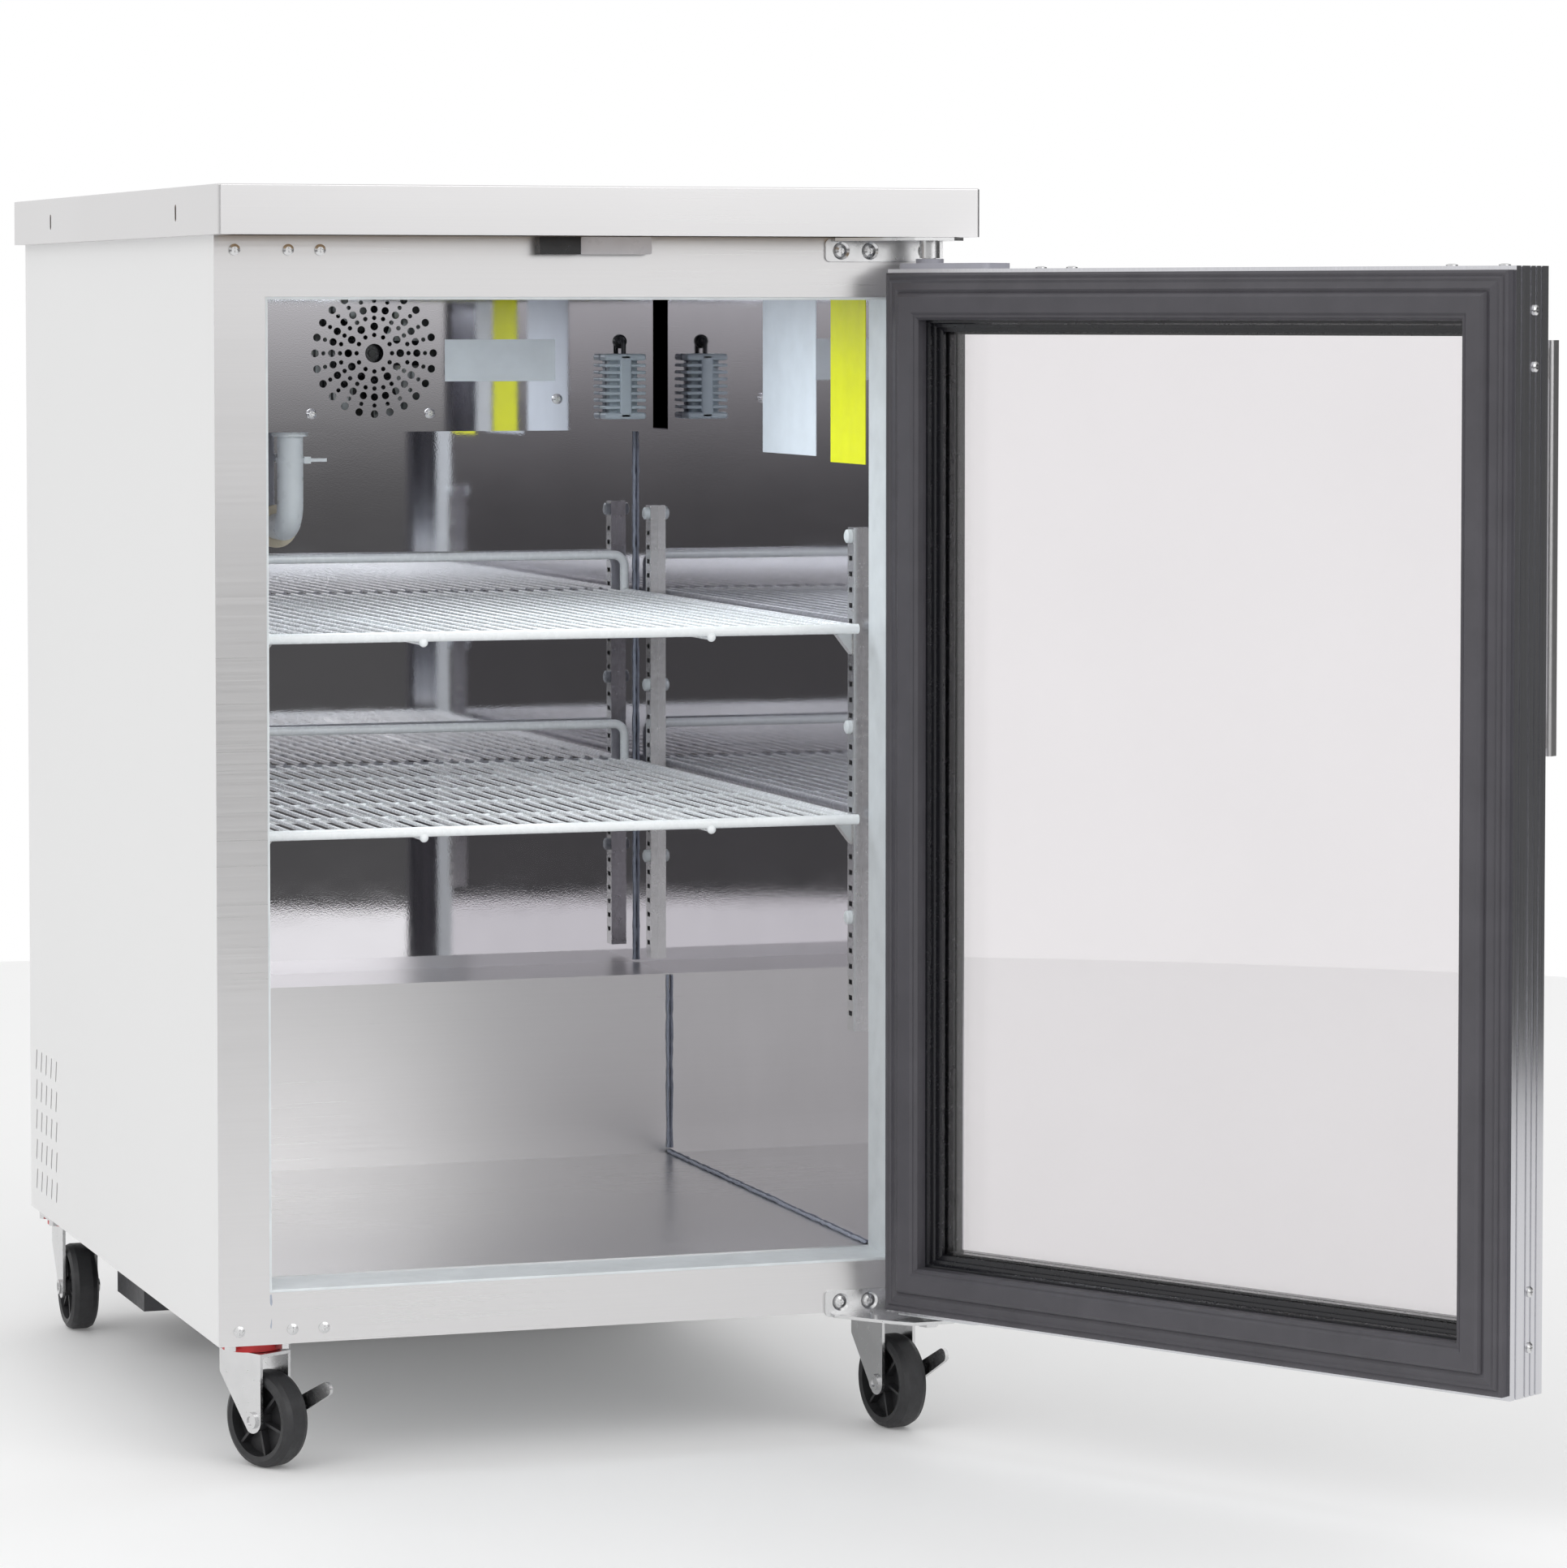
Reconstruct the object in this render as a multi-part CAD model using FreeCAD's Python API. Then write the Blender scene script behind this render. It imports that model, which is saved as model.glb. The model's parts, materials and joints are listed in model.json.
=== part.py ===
"""Undercounter refrigerator with one glass door, on swivel casters.

Frame: millimetres, +Z up, origin on the floor under the centre of the cabinet body.
The door side faces -Y and the rear panel faces +Y. The rest pose has the door open.
"""
import FreeCAD, Part
import math
import os

V = FreeCAD.Vector
X_AXIS, Y_AXIS, Z_AXIS = V(1, 0, 0), V(0, 1, 0), V(0, 0, 1)

# ---------------------------------------------------------------- driving dimensions
BODY_WIDTH = 590.0
BODY_DEPTH = 750.0
BODY_HEIGHT = 853.0
CASTER_HEIGHT = 100.0        # floor to the underside of the body
WORKTOP_THICKNESS = 38.0
WORKTOP_SIDE_LIP = 10.0      # worktop beyond each side panel
WORKTOP_FRONT_LIP = 58.0     # worktop beyond the front frame, over the door
SKIN = 1.0                   # sheet thickness of the outer panels
LINER = 1.0                  # sheet thickness of the inner panels
FRAME_DEPTH = 45.0           # how far the front frame returns into the body
COLUMN = 40.0                # width of each front column
SILL = 40.0                  # height of the bottom rail
HEADER = 47.0                # height of the top rail

LEFT, RIGHT = -BODY_WIDTH / 2, BODY_WIDTH / 2
FRONT, BACK = -BODY_DEPTH / 2, BODY_DEPTH / 2
BASE = CASTER_HEIGHT
TOP = BASE + BODY_HEIGHT
WORKTOP_TOP = TOP + WORKTOP_THICKNESS

# refrigerated space
CAVITY_X = 253.0             # half width between the liner walls
CAVITY_FLOOR = BASE + 43
CAVITY_CEILING = BASE + 820
CAVITY_BACK = FRONT + 702
LINER_FRONT = FRONT + 58     # where the liner meets the plastic strips of the throat
STEP_FRONT = FRONT + 600     # front face of the raised step over the machinery
STEP_TOP = BASE + 204
MACHINE_FRONT = STEP_FRONT + 25
MACHINE_CEILING = STEP_TOP - 30

# evaporator housing under the ceiling
COVER_FRONT = FRONT + 625
COVER_BOTTOM = BASE + 689
COVER_RIGHT = CAVITY_X - 7
FAN_X = LEFT + 285
FAN_Z = BASE + 758
FAN_RADIUS = 48.0
# rings of air holes: distance from the fan's axis, number, radius
AIR_HOLES = ((16.0, 12, 2.0), (23.5, 12, 3.5), (31.0, 24, 2.0), (38.5, 24, 3.3), (46.0, 24, 1.9),
             (53.5, 24, 3.4))

# screws that face -Y: x and z of each
SCREW_SHANK = 2.0
COVER_SCREWS = ((LEFT + 228, BASE + 705), (LEFT + 335, BASE + 705), (LEFT + 452, BASE + 717))
COLUMN_SCREWS = ((LEFT + 16, TOP - 11), (LEFT + 16, BASE + 11))
RAIL_SCREWS = tuple((LEFT + across, z) for across in (58, 83) for z in (TOP - 11, BASE + 11))

# shelving
PILASTER_WIDTH = 15.0
PILASTER_DEPTH = 7.0
PILASTER_LOW, PILASTER_HIGH = BASE + 214, BASE + 621
PILASTER_Y = (FRONT + 82, FRONT + 640)
KNOB_HEIGHTS = (BASE + 614, BASE + 460, BASE + 306)
SLOT_PITCH = 12.7
SHELF_LEVELS = {"shelf_upper": BASE + 541, "shelf_lower": BASE + 388}
SHELF_HALF = 242.0
SHELF_FRONT = FRONT + 52
SHELF_BACK = FRONT + 692
ROD = 4.0                    # radius of the shelf's frame rods
WIRE = 1.6                   # radius of the shelf's thin wires
SUNK = 0.3                   # how far the wires' tops lie below the top of the front rod

# door, measured closed: u runs inward from the door's edge, v runs outward from its inner face
DOOR_LEFT, DOOR_RIGHT = LEFT + 2, RIGHT - 2
DOOR_BOTTOM, DOOR_TOP = BASE + 4, BASE + 828
DOOR_INNER = FRONT - 15
DOOR_THICKNESS = 42.0
DOOR_BORDER = 40.0           # width of the aluminium frame
DOOR_WALL = 3.5              # wall of the extrusion at the door's edge
GLASS_BORDER = 49.0          # edge of the door to the visible glass
PIN_X, PIN_Y = RIGHT - 25, FRONT - 39
PIN_RADIUS = 5.0
RUNNING_GAP = 0.05
BUSH_RADIUS = 7.0
BUSH_LENGTH = 14.0
DOOR_REST_ANGLE = 121.2      # degrees from closed

# casters
WHEEL_RADIUS = 37.5
WHEEL_WIDTH = 24.0
AXLE_RADIUS = 4.0
TRAIL = 18.0                 # swivel axis to axle
FORK_INNER = 13.0
FORK_SHEET = 2.5
PLATE = 3.5                  # thickness of the caster's top plate
RING_HEIGHT = 6.5
RING_RADIUS = 23.0
KING_PIN = 7.0
AXLE_Z = WHEEL_RADIUS
FORK_TOP = CASTER_HEIGHT - PLATE - RING_HEIGHT
KING_PIN_LOW = FORK_TOP - FORK_SHEET - 2
# name: swivel axis x, y, and the direction of trail in degrees from -Y towards +X
CASTERS = {
    "front_left": (LEFT + 36, FRONT + 45, 28.0),
    "front_right": (RIGHT - 36, FRONT + 45, 12.0),
    "rear_left": (LEFT + 28, FRONT + 700, 0.0),
    "rear_right": (RIGHT - 28, FRONT + 700, 0.0),
}
BRAKED = ("front_left", "front_right")

# tray that hangs under the body and carries the compressor
TRAY_DROP = 60.0
TRAY_FRONT = FRONT + 518
TRAY_NOTCH_Y = FRONT + 628
TRAY_WIDE = RIGHT - 52
TRAY_NARROW = RIGHT - 92
TRAY_BACK = BACK - 6
TRAY_WALL = 2.0


# ---------------------------------------------------------------- helpers
def box(x0, x1, y0, y1, z0, z1):
    return Part.makeBox(x1 - x0, y1 - y0, z1 - z0, V(x0, y0, z0))


def rod(x, y, z, radius, length, axis=Z_AXIS):
    return Part.makeCylinder(radius, length, V(x, y, z), axis)


def tube(x, y, z, outer, inner, length, axis=Z_AXIS):
    return rod(x, y, z, outer, length, axis).cut(rod(x, y, z, inner, length, axis))


def prism(points, direction):
    """Closed polygon through the points, pushed along direction."""
    corners = [V(*p) for p in points]
    face = Part.Face(Part.makePolygon(corners + corners[:1]))
    return face.extrude(direction)


def fuse(solids):
    joined = solids[0].multiFuse(solids[1:]) if len(solids) > 1 else solids[0]
    return joined.removeSplitter()


def rounded_plate(x0, x1, y0, y1, z0, z1, radius, axis="z"):
    """Box with its four edges along one axis rounded."""
    plate = box(x0, x1, y0, y1, z0, z1)
    along = {"x": X_AXIS, "y": Y_AXIS, "z": Z_AXIS}[axis]
    edges = [e for e in plate.Edges if abs(e.tangentAt(e.FirstParameter).dot(along)) > 0.99]
    return plate.makeFillet(radius, edges)


def slot_cutter(x, y, z, width, height, lean, axis):
    """Round-ended slot that passes through a sheet, leaning by a few degrees."""
    half = height / 2 - width / 2
    reach = 8.0
    if axis == "x":
        start = V(x - reach, y, z)
        body = box(x - reach, x + reach, y - width / 2, y + width / 2, z - half, z + half)
        ends = [rod(x - reach, y, z + s * half, width / 2, 2 * reach, X_AXIS) for s in (-1, 1)]
        turn = X_AXIS
    else:
        start = V(x, y - reach, z)
        body = box(x - width / 2, x + width / 2, y - reach, y + reach, z - half, z + half)
        ends = [rod(x, y - reach, z + s * half, width / 2, 2 * reach, Y_AXIS) for s in (-1, 1)]
        turn = Y_AXIS
    cutter = fuse([body] + ends)
    cutter.rotate(start, turn, lean)
    return cutter


def screw(x, y, z, axis, head, rise, depth, cross=True):
    """Pan-head screw: axis points out of the surface it is driven into."""
    pan = Part.makeCylinder(head, rise * 0.55, V(x, y, z), axis)
    dome = Part.makeCone(head, head * 0.55, rise * 0.45, V(x, y, z) + axis * rise * 0.55, axis)
    body = Part.makeCylinder(SCREW_SHANK, depth, V(x, y, z) - axis * depth, axis)
    solid = fuse([pan, dome, body])
    if not cross:
        return solid
    side = axis.cross(Z_AXIS) if abs(axis.z) < 0.5 else X_AXIS
    up = axis.cross(side)
    tip = V(x, y, z) + axis * (rise + 0.1)
    for along, across in ((side, up), (up, side)):
        arm = [tip + along * (s * head * 0.5) + across * (t * 0.4) for s, t in
               ((-1, -1), (1, -1), (1, 1), (-1, 1))]
        solid = solid.cut(Part.Face(Part.makePolygon(arm + arm[:1])).extrude(axis * -rise * 0.7))
    return solid


def screw_bores(places, face, depth):
    """Cutters for the shanks of screws driven along +Y into a face."""
    return [rod(x, face, z, SCREW_SHANK, depth, Y_AXIS) for x, z in places]


def mirrored(shape):
    return shape.mirror(V(0, 0, 0), X_AXIS)


def swung_open(shape):
    """Turns a piece of the closed door to the rest pose."""
    shape.rotate(V(PIN_X, PIN_Y, 0), Z_AXIS, DOOR_REST_ANGLE)
    return shape


def group(solids):
    flat = []
    for s in solids:
        flat += s.Solids
    return Part.makeCompound(flat)


# ---------------------------------------------------------------- cabinet shell
def worktop_skin():
    x0, x1 = LEFT - WORKTOP_SIDE_LIP, RIGHT + WORKTOP_SIDE_LIP
    y0 = FRONT - WORKTOP_FRONT_LIP
    sheet, hem = 1.2, 14.0
    outer = rounded_plate(x0, x1, y0, BACK, TOP, WORKTOP_TOP, 2.5)
    outer = outer.makeFillet(1.1, [e for e in outer.Edges if e.BoundBox.ZMin > WORKTOP_TOP - 0.01])
    inner = box(x0 + sheet, x1 - sheet, y0 + sheet, BACK - sheet, TOP + sheet, WORKTOP_TOP - sheet)
    mouth = box(x0 + hem, x1 - hem, y0 + hem, BACK - hem, TOP - 1, TOP + sheet + 1)
    skin = outer.cut(inner).cut(mouth)
    recesses = [slot_cutter(x, y, TOP + 18, 5.0, 13.0, 0, "x")
                for x in (x0, x1) for y in (FRONT + 89, FRONT + 585)]
    return skin.cut(Part.makeCompound(recesses))


def worktop_core():
    inset = 3.0
    return box(LEFT - WORKTOP_SIDE_LIP + inset, RIGHT + WORKTOP_SIDE_LIP - inset,
               FRONT - WORKTOP_FRONT_LIP + inset, BACK - inset, TOP + 1.2, WORKTOP_TOP - 1.2)


def side_panel():
    """Left side panel, with five by five leaning vent slots beside the machinery."""
    panel = box(LEFT, LEFT + SKIN, FRONT + SKIN, BACK, BASE, TOP)
    pitch_y, pitch_z = 22.0, 26.5
    slots = [slot_cutter(LEFT, FRONT + 634 + i * pitch_y, BASE + 134 - k * pitch_z, 4.0, 19.0, 14, "x")
             for i in range(5) for k in range(5)]
    return panel.cut(Part.makeCompound(slots))


def rear_panel():
    return box(LEFT + SKIN, RIGHT - SKIN, BACK - SKIN, BACK, MACHINE_CEILING + 6, TOP)


def rear_grille():
    """Removable louvred cover over the machinery."""
    sheet = box(LEFT + SKIN, RIGHT - SKIN, BACK - SKIN, BACK, BASE + 1, MACHINE_CEILING + 5)
    rows, columns = 7, 4
    width, gap = 112.0, 18.0
    first = LEFT + 46
    cutters = [box(first + c * (width + gap), first + c * (width + gap) + width, BACK - 5, BACK + 5,
                   BASE + 20 + r * 21, BASE + 27 + r * 21)
               for r in range(rows) for c in range(columns)]
    return sheet.cut(Part.makeCompound(cutters))


def base_pan():
    """Bottom sheet: whole under the insulation, open over the compressor tray."""
    sheet = box(LEFT + SKIN, RIGHT - SKIN, FRONT + SKIN, BACK - SKIN, BASE, BASE + SKIN)
    opening = box(-TRAY_NARROW + 6, TRAY_NARROW - 6, MACHINE_FRONT + 4, TRAY_BACK - 6, BASE - 1, BASE + 2)
    return sheet.cut(opening)


def columns():
    """Two front columns, each a face strip with a return along the throat."""
    face = box(LEFT, LEFT + COLUMN, FRONT, FRONT + SKIN, BASE, TOP)
    throat = box(LEFT + COLUMN - SKIN, LEFT + COLUMN, FRONT, FRONT + FRAME_DEPTH, BASE + SILL,
                 TOP - HEADER)
    left = fuse([face, throat])
    return group([left.cut(Part.makeCompound(screw_bores(COLUMN_SCREWS, FRONT, SKIN))), mirrored(left)])


def cross_rail(z0, z1, return_z):
    """Face strip between the columns, with a return along the throat at return_z."""
    face = box(LEFT + COLUMN, RIGHT - COLUMN, FRONT, FRONT + SKIN, z0, z1)
    throat = box(LEFT + COLUMN, RIGHT - COLUMN, FRONT, FRONT + FRAME_DEPTH, return_z, return_z + SKIN)
    return fuse([face, throat])


def cross_rails():
    header = cross_rail(TOP - HEADER, TOP, TOP - HEADER)
    sill = cross_rail(BASE, BASE + SILL, BASE + SILL - SKIN)
    bores = Part.makeCompound(screw_bores(RAIL_SCREWS, FRONT, SKIN))
    return group([header.cut(bores), sill.cut(bores)])


def breaker_strips():
    """Plastic strips that line the throat between the cold liner and the warm front frame."""
    x, t = RIGHT - COLUMN, 2.0
    y0, y1 = FRONT + 1, LINER_FRONT
    low, high = BASE + SILL, TOP - HEADER
    side = box(x - t, x, y0, y1, low + t, high - t)
    floor_strip = box(-x, x, y0, y1, low, low + t)
    top_strip = box(-x, x, y0, y1, high - t, high)
    return group([side, mirrored(side), floor_strip, top_strip])


# ---------------------------------------------------------------- refrigerated space
def liner_walls():
    """Side walls, back wall and ceiling, each its own polished sheet."""
    right = box(CAVITY_X, CAVITY_X + LINER, LINER_FRONT, CAVITY_BACK + LINER,
                CAVITY_FLOOR - LINER, CAVITY_CEILING + LINER)
    right = right.cut(box(CAVITY_X - 1, CAVITY_X + 2, STEP_FRONT + LINER, CAVITY_BACK + 2,
                          CAVITY_FLOOR - 2, STEP_TOP - LINER))
    back = box(-CAVITY_X, CAVITY_X, CAVITY_BACK, CAVITY_BACK + LINER, STEP_TOP, CAVITY_CEILING)
    ceiling = box(-CAVITY_X, CAVITY_X, LINER_FRONT, CAVITY_BACK + LINER, CAVITY_CEILING,
                  CAVITY_CEILING + LINER)
    return group([right, mirrored(right), back, ceiling])


def liner_floor():
    return box(-CAVITY_X, CAVITY_X, LINER_FRONT, STEP_FRONT + LINER, CAVITY_FLOOR - LINER, CAVITY_FLOOR)


def liner_step():
    front = box(-CAVITY_X, CAVITY_X, STEP_FRONT, STEP_FRONT + LINER, CAVITY_FLOOR, STEP_TOP)
    top = box(-CAVITY_X, CAVITY_X, STEP_FRONT, CAVITY_BACK + LINER, STEP_TOP - LINER, STEP_TOP)
    return fuse([front, top])


def insulation_foam():
    """Rigid foam that fills the space between the outer skins and the liner."""
    gap = 0.2
    outer = box(LEFT + SKIN + gap, RIGHT - SKIN - gap, FRONT + SKIN + gap, BACK - SKIN - gap,
                BASE + SKIN + gap, TOP - gap)
    wall = CAVITY_X + LINER + gap
    cavity = box(-wall, wall, FRONT - 1, CAVITY_BACK + LINER + gap, STEP_TOP - LINER - gap,
                 CAVITY_CEILING + LINER + gap)
    well = box(-wall, wall, FRONT - 1, STEP_FRONT + LINER + gap, CAVITY_FLOOR - LINER - gap, STEP_TOP)
    machine = box(LEFT - 1, RIGHT + 1, MACHINE_FRONT, BACK + 1, BASE - 1, MACHINE_CEILING)
    edge = RIGHT - COLUMN + SKIN + gap
    throat = box(-edge, edge, FRONT - 1, FRONT + 60, BASE + SILL - SKIN - gap, TOP - HEADER + SKIN + gap)
    shape = outer.cut(Part.makeCompound([cavity])).cut(well).cut(machine).cut(throat)
    return max(shape.Solids, key=lambda s: s.Volume)


def sealant_beads():
    """Beads of sealant along the liner's corners and in the frame's bottom joints."""
    r, lift = 2.0, 0.3
    beads = []
    for side in (-1, 1):
        x = side * (CAVITY_X - lift)
        beads.append(rod(x, FRONT + 60, CAVITY_FLOOR + lift, r, STEP_FRONT - FRONT - 66, Y_AXIS))
        beads.append(rod(x, STEP_FRONT - lift, CAVITY_FLOOR + 5, r, STEP_TOP - CAVITY_FLOOR - 5))
        beads.append(rod(x, CAVITY_BACK - lift, STEP_TOP + 5, r, COVER_BOTTOM - STEP_TOP - 8))
    room = box(-CAVITY_X, CAVITY_X, FRONT + 59, STEP_FRONT, CAVITY_FLOOR, CAVITY_CEILING)
    over_step = box(-CAVITY_X, CAVITY_X, STEP_FRONT, CAVITY_BACK, STEP_TOP, CAVITY_CEILING)
    inside = room.fuse(over_step)
    beads = [b.common(inside) for b in beads]
    x = LEFT + COLUMN
    left_joint = box(x, x + 2.5, FRONT - 0.6, FRONT, BASE + 1, BASE + SILL)
    right_joint = box(-x - 2.5, -x, FRONT - 0.6, FRONT, BASE + 19, BASE + SILL)
    return group(beads + [left_joint, right_joint])


def blank_labels():
    """Blank plates on the right wall and on the evaporator cover."""
    thick = 0.4
    top = CAVITY_CEILING - 12
    white = box(CAVITY_X - thick, CAVITY_X, FRONT + 190, FRONT + 330, top - 132, top)
    yellow = box(CAVITY_X - thick, CAVITY_X, FRONT + 66, FRONT + 152, top - 136, top)
    caution = box(LEFT + 349, LEFT + 450, COVER_FRONT - thick, COVER_FRONT, BASE + 733, BASE + 770)
    return group([white, yellow, caution])


# ---------------------------------------------------------------- evaporator
def evaporator_cover():
    """Polished box under the ceiling, with a round pattern of air holes in front of the fan."""
    t = 1.0
    x0, x1 = -CAVITY_X, COVER_RIGHT
    face = box(x0, x1, COVER_FRONT, COVER_FRONT + t, COVER_BOTTOM, CAVITY_CEILING)
    floor_sheet = box(x0, x1, COVER_FRONT, CAVITY_BACK, COVER_BOTTOM, COVER_BOTTOM + t)
    end = box(x1 - t, x1, COVER_FRONT, CAVITY_BACK, COVER_BOTTOM, CAVITY_CEILING)
    cover = fuse([face, floor_sheet, end])
    holes = [rod(FAN_X, COVER_FRONT - 1, FAN_Z, 8.3, 4, Y_AXIS)]
    for ring, count, radius in AIR_HOLES:
        for i in range(count):
            a = 2 * math.pi * i / count
            holes.append(rod(FAN_X + ring * math.cos(a), COVER_FRONT - 1,
                             FAN_Z + ring * math.sin(a), radius, 4, Y_AXIS))
    drain = rod(LEFT + 214, COVER_FRONT + 22, COVER_BOTTOM - 1, 11.7, 4)
    bores = screw_bores(COVER_SCREWS, COVER_FRONT, SKIN)
    return cover.cut(Part.makeCompound(holes + [drain] + bores))


def evaporator_coil():
    """Finned block crossed by tubes, with return bends at its ends."""
    x0, x1 = -CAVITY_X + 40, COVER_RIGHT - 40
    y0, y1 = COVER_FRONT + 42, CAVITY_BACK - 2
    z0, z1 = COVER_BOTTOM + 10, CAVITY_CEILING - 4
    block = box(x0, x1, y0, y1, z0, z1)
    grooves = [box(x, x + 2.2, y0 - 1, y0 + 8, z0 + 4, z1 - 4) for x in
               [x0 + 6 + i * 8 for i in range(int((x1 - x0 - 12) / 8))]]
    block = block.cut(Part.makeCompound(grooves))
    bends = []
    for i in range(4):
        z = z0 + 16 + i * 26
        bends += [half_ring(x0, (y0 + y1) / 2 + 4, z, 8.0, 3.2, -1),
                  half_ring(x1, (y0 + y1) / 2 + 4, z, 8.0, 3.2, 1)]
    return group([block] + bends)


def half_ring(x, y, z, radius, thick, side):
    """Return bend of a tube, standing out of a coil's end along X."""
    ring = Part.makeTorus(radius, thick, V(x, y, z), Z_AXIS)
    far = x + side * 40
    return ring.common(box(min(x, far), max(x, far), y - 40, y + 40, z - 10, z + 10))


def fan_blades(hub_radius, radius, depth, bore, blades=5):
    """Axial fan about +Y at the origin: a hub with flat pitched blades."""
    hub = rod(0, 0, 0, hub_radius, depth, Y_AXIS)
    pieces = [hub]
    for i in range(blades):
        reach = radius - hub_radius * 0.6
        blade = box(hub_radius * 0.6, hub_radius * 0.6 + reach, depth / 2 - 0.8, depth / 2 + 0.8,
                    -radius * 0.24, radius * 0.24)
        blade.rotate(V(0, depth / 2, 0), X_AXIS, 24)
        blade.rotate(V(0, 0, 0), Y_AXIS, i * 360.0 / blades)
        pieces.append(blade)
    envelope = rod(0, -20, 0, radius, depth + 40, Y_AXIS)
    return fuse(pieces).common(envelope).cut(rod(0, -30, 0, bore, depth + 60, Y_AXIS))


SHAFT = 3.0


def evaporator_fan():
    fan = fan_blades(14.0, FAN_RADIUS, 14.0, SHAFT + RUNNING_GAP)
    fan.translate(V(FAN_X, COVER_FRONT + 10, FAN_Z))
    return fan


def evaporator_fan_motor():
    """Motor behind the fan, on a bracket that is fixed to the cover's floor."""
    y0, y1 = COVER_FRONT + 26, COVER_FRONT + 41
    body = rod(FAN_X, y0, FAN_Z, 20.0, y1 - y0, Y_AXIS)
    shaft = rod(FAN_X, COVER_FRONT + 8, FAN_Z, SHAFT, y0 - COVER_FRONT - 8, Y_AXIS)
    leg = box(FAN_X - 9, FAN_X + 9, y1 - 3, y1, COVER_BOTTOM + 1, FAN_Z - 10)
    foot = box(FAN_X - 9, FAN_X + 9, y1 - 16, y1, COVER_BOTTOM + 1, COVER_BOTTOM + 3)
    return fuse([body, shaft, leg, foot])


def temperature_sensor():
    """Louvred plastic housing on the cover, and the lead and grommet above it."""
    x, z = LEFT + 510, BASE + 728
    w, h, d = 19.0, 29.0, 20.0
    y = COVER_FRONT
    housing = rounded_plate(x - w, x + w, y - d, y, z - h, z + h, 6.0, "y")
    louvres = []
    for i in range(6):
        zc = z - h + 9 + i * 8
        louvres.append(box(x - w + 4, x + w - 4, y - d - 1, y - d + 9, zc, zc + 3.2))
    return group([housing.cut(Part.makeCompound(louvres)), sensor_lead()])


def sensor_lead():
    """Grommet on the cover and the short lead that runs down to the sensor's housing."""
    x, z = LEFT + 510, BASE + 768
    y = COVER_FRONT
    grommet = fuse([rod(x, y - 6, z, 6.5, 6, Y_AXIS), rod(x, y - 9, z, 4.0, 4, Y_AXIS)])
    top = BASE + 757
    lead = rod(x, y - 12, top, 2.2, z - top)
    nose = rod(x, y - 12, z, 2.2, 6, Y_AXIS)
    ball = Part.makeSphere(2.2, V(x, y - 12, z))
    return fuse([grommet, nose, ball, lead])


def drain_elbow():
    """Drain pipe from the evaporator's floor to the back wall, its wall ring and its cable tie."""
    x, y = LEFT + 214, COVER_FRONT + 22
    outer, inner, bend = 11.5, 9.5, 24.0
    z_bend = BASE + 628
    flange = tube(x, y, COVER_BOTTOM - 4, 16.0, inner, 4)
    neck = tube(x, y, COVER_BOTTOM - 4, outer, inner, 6)
    pipe = tube(x, y, z_bend, outer, inner, COVER_BOTTOM - 4 - z_bend)
    path = Part.Wire([Part.Arc(V(x, y, z_bend),
                               V(x, y + bend * (1 - math.cos(math.pi / 4)),
                                 z_bend - bend * math.sin(math.pi / 4)),
                               V(x, y + bend, z_bend - bend)).toShape()])
    ring = Part.Face([Part.Wire(Part.makeCircle(outer, V(x, y, z_bend), Z_AXIS)),
                      Part.Wire(Part.makeCircle(inner, V(x, y, z_bend), Z_AXIS))])
    elbow = path.makePipe(ring)
    tail = tube(x, y + bend, z_bend - bend, outer, inner, CAVITY_BACK - y - bend, Y_AXIS)
    wall_ring = tube(x, CAVITY_BACK - 3, z_bend - bend, 19.0, outer, 3, Y_AXIS)
    return group([fuse([flange, neck, pipe, elbow, tail]), wall_ring, drain_tie()])


def drain_tie():
    """Cable tie round the drain pipe, with its lock and tail."""
    x, y, z = LEFT + 214, COVER_FRONT + 22, BASE + 662
    band = tube(x, y, z, 12.7, 11.5, 4.0)
    lock = box(x + 12.0, x + 18.0, y - 3.5, y + 3.5, z - 1, z + 5)
    tail = box(x + 17.0, x + 33.0, y - 0.6, y + 0.6, z + 0.5, z + 3.5)
    return fuse([band, lock, tail])


# ---------------------------------------------------------------- shelving
def pilaster(y):
    """Slotted channel on the right wall: three thin sides, open towards the wall."""
    t = 1.2
    x0, x1 = CAVITY_X - PILASTER_DEPTH, CAVITY_X
    half = PILASTER_WIDTH / 2
    outer = box(x0, x1, y - half, y + half, PILASTER_LOW, PILASTER_HIGH)
    hollow = box(x0 + t, x1 + 1, y - half + t, y + half - t, PILASTER_LOW - 1, PILASTER_HIGH + 1)
    channel = outer.cut(hollow)
    count = int((PILASTER_HIGH - PILASTER_LOW - 20) / SLOT_PITCH)
    slots = [box(x0 - 1, x0 + 2, y - 4, y + 4, PILASTER_LOW + 12 + i * SLOT_PITCH,
                 PILASTER_LOW + 16 + i * SLOT_PITCH) for i in range(count)]
    return channel.cut(Part.makeCompound(slots))


def pilasters():
    right = [pilaster(y) for y in PILASTER_Y]
    return group(right + [mirrored(p) for p in right])


def knob(y, z):
    """Nylon screw that holds a pilaster to the wall, beside the channel."""
    x = CAVITY_X - PILASTER_DEPTH
    head = rod(x, y, z, 5.5, 3.5, V(-1, 0, 0))
    crown = Part.makeCone(5.5, 3.6, 1.2, V(x - 3.5, y, z), V(-1, 0, 0))
    return fuse([head, crown])


def pilaster_knobs():
    right = [knob(y, z) for y in PILASTER_Y for z in KNOB_HEIGHTS]
    return group(right + [mirrored(k) for k in right])


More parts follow.
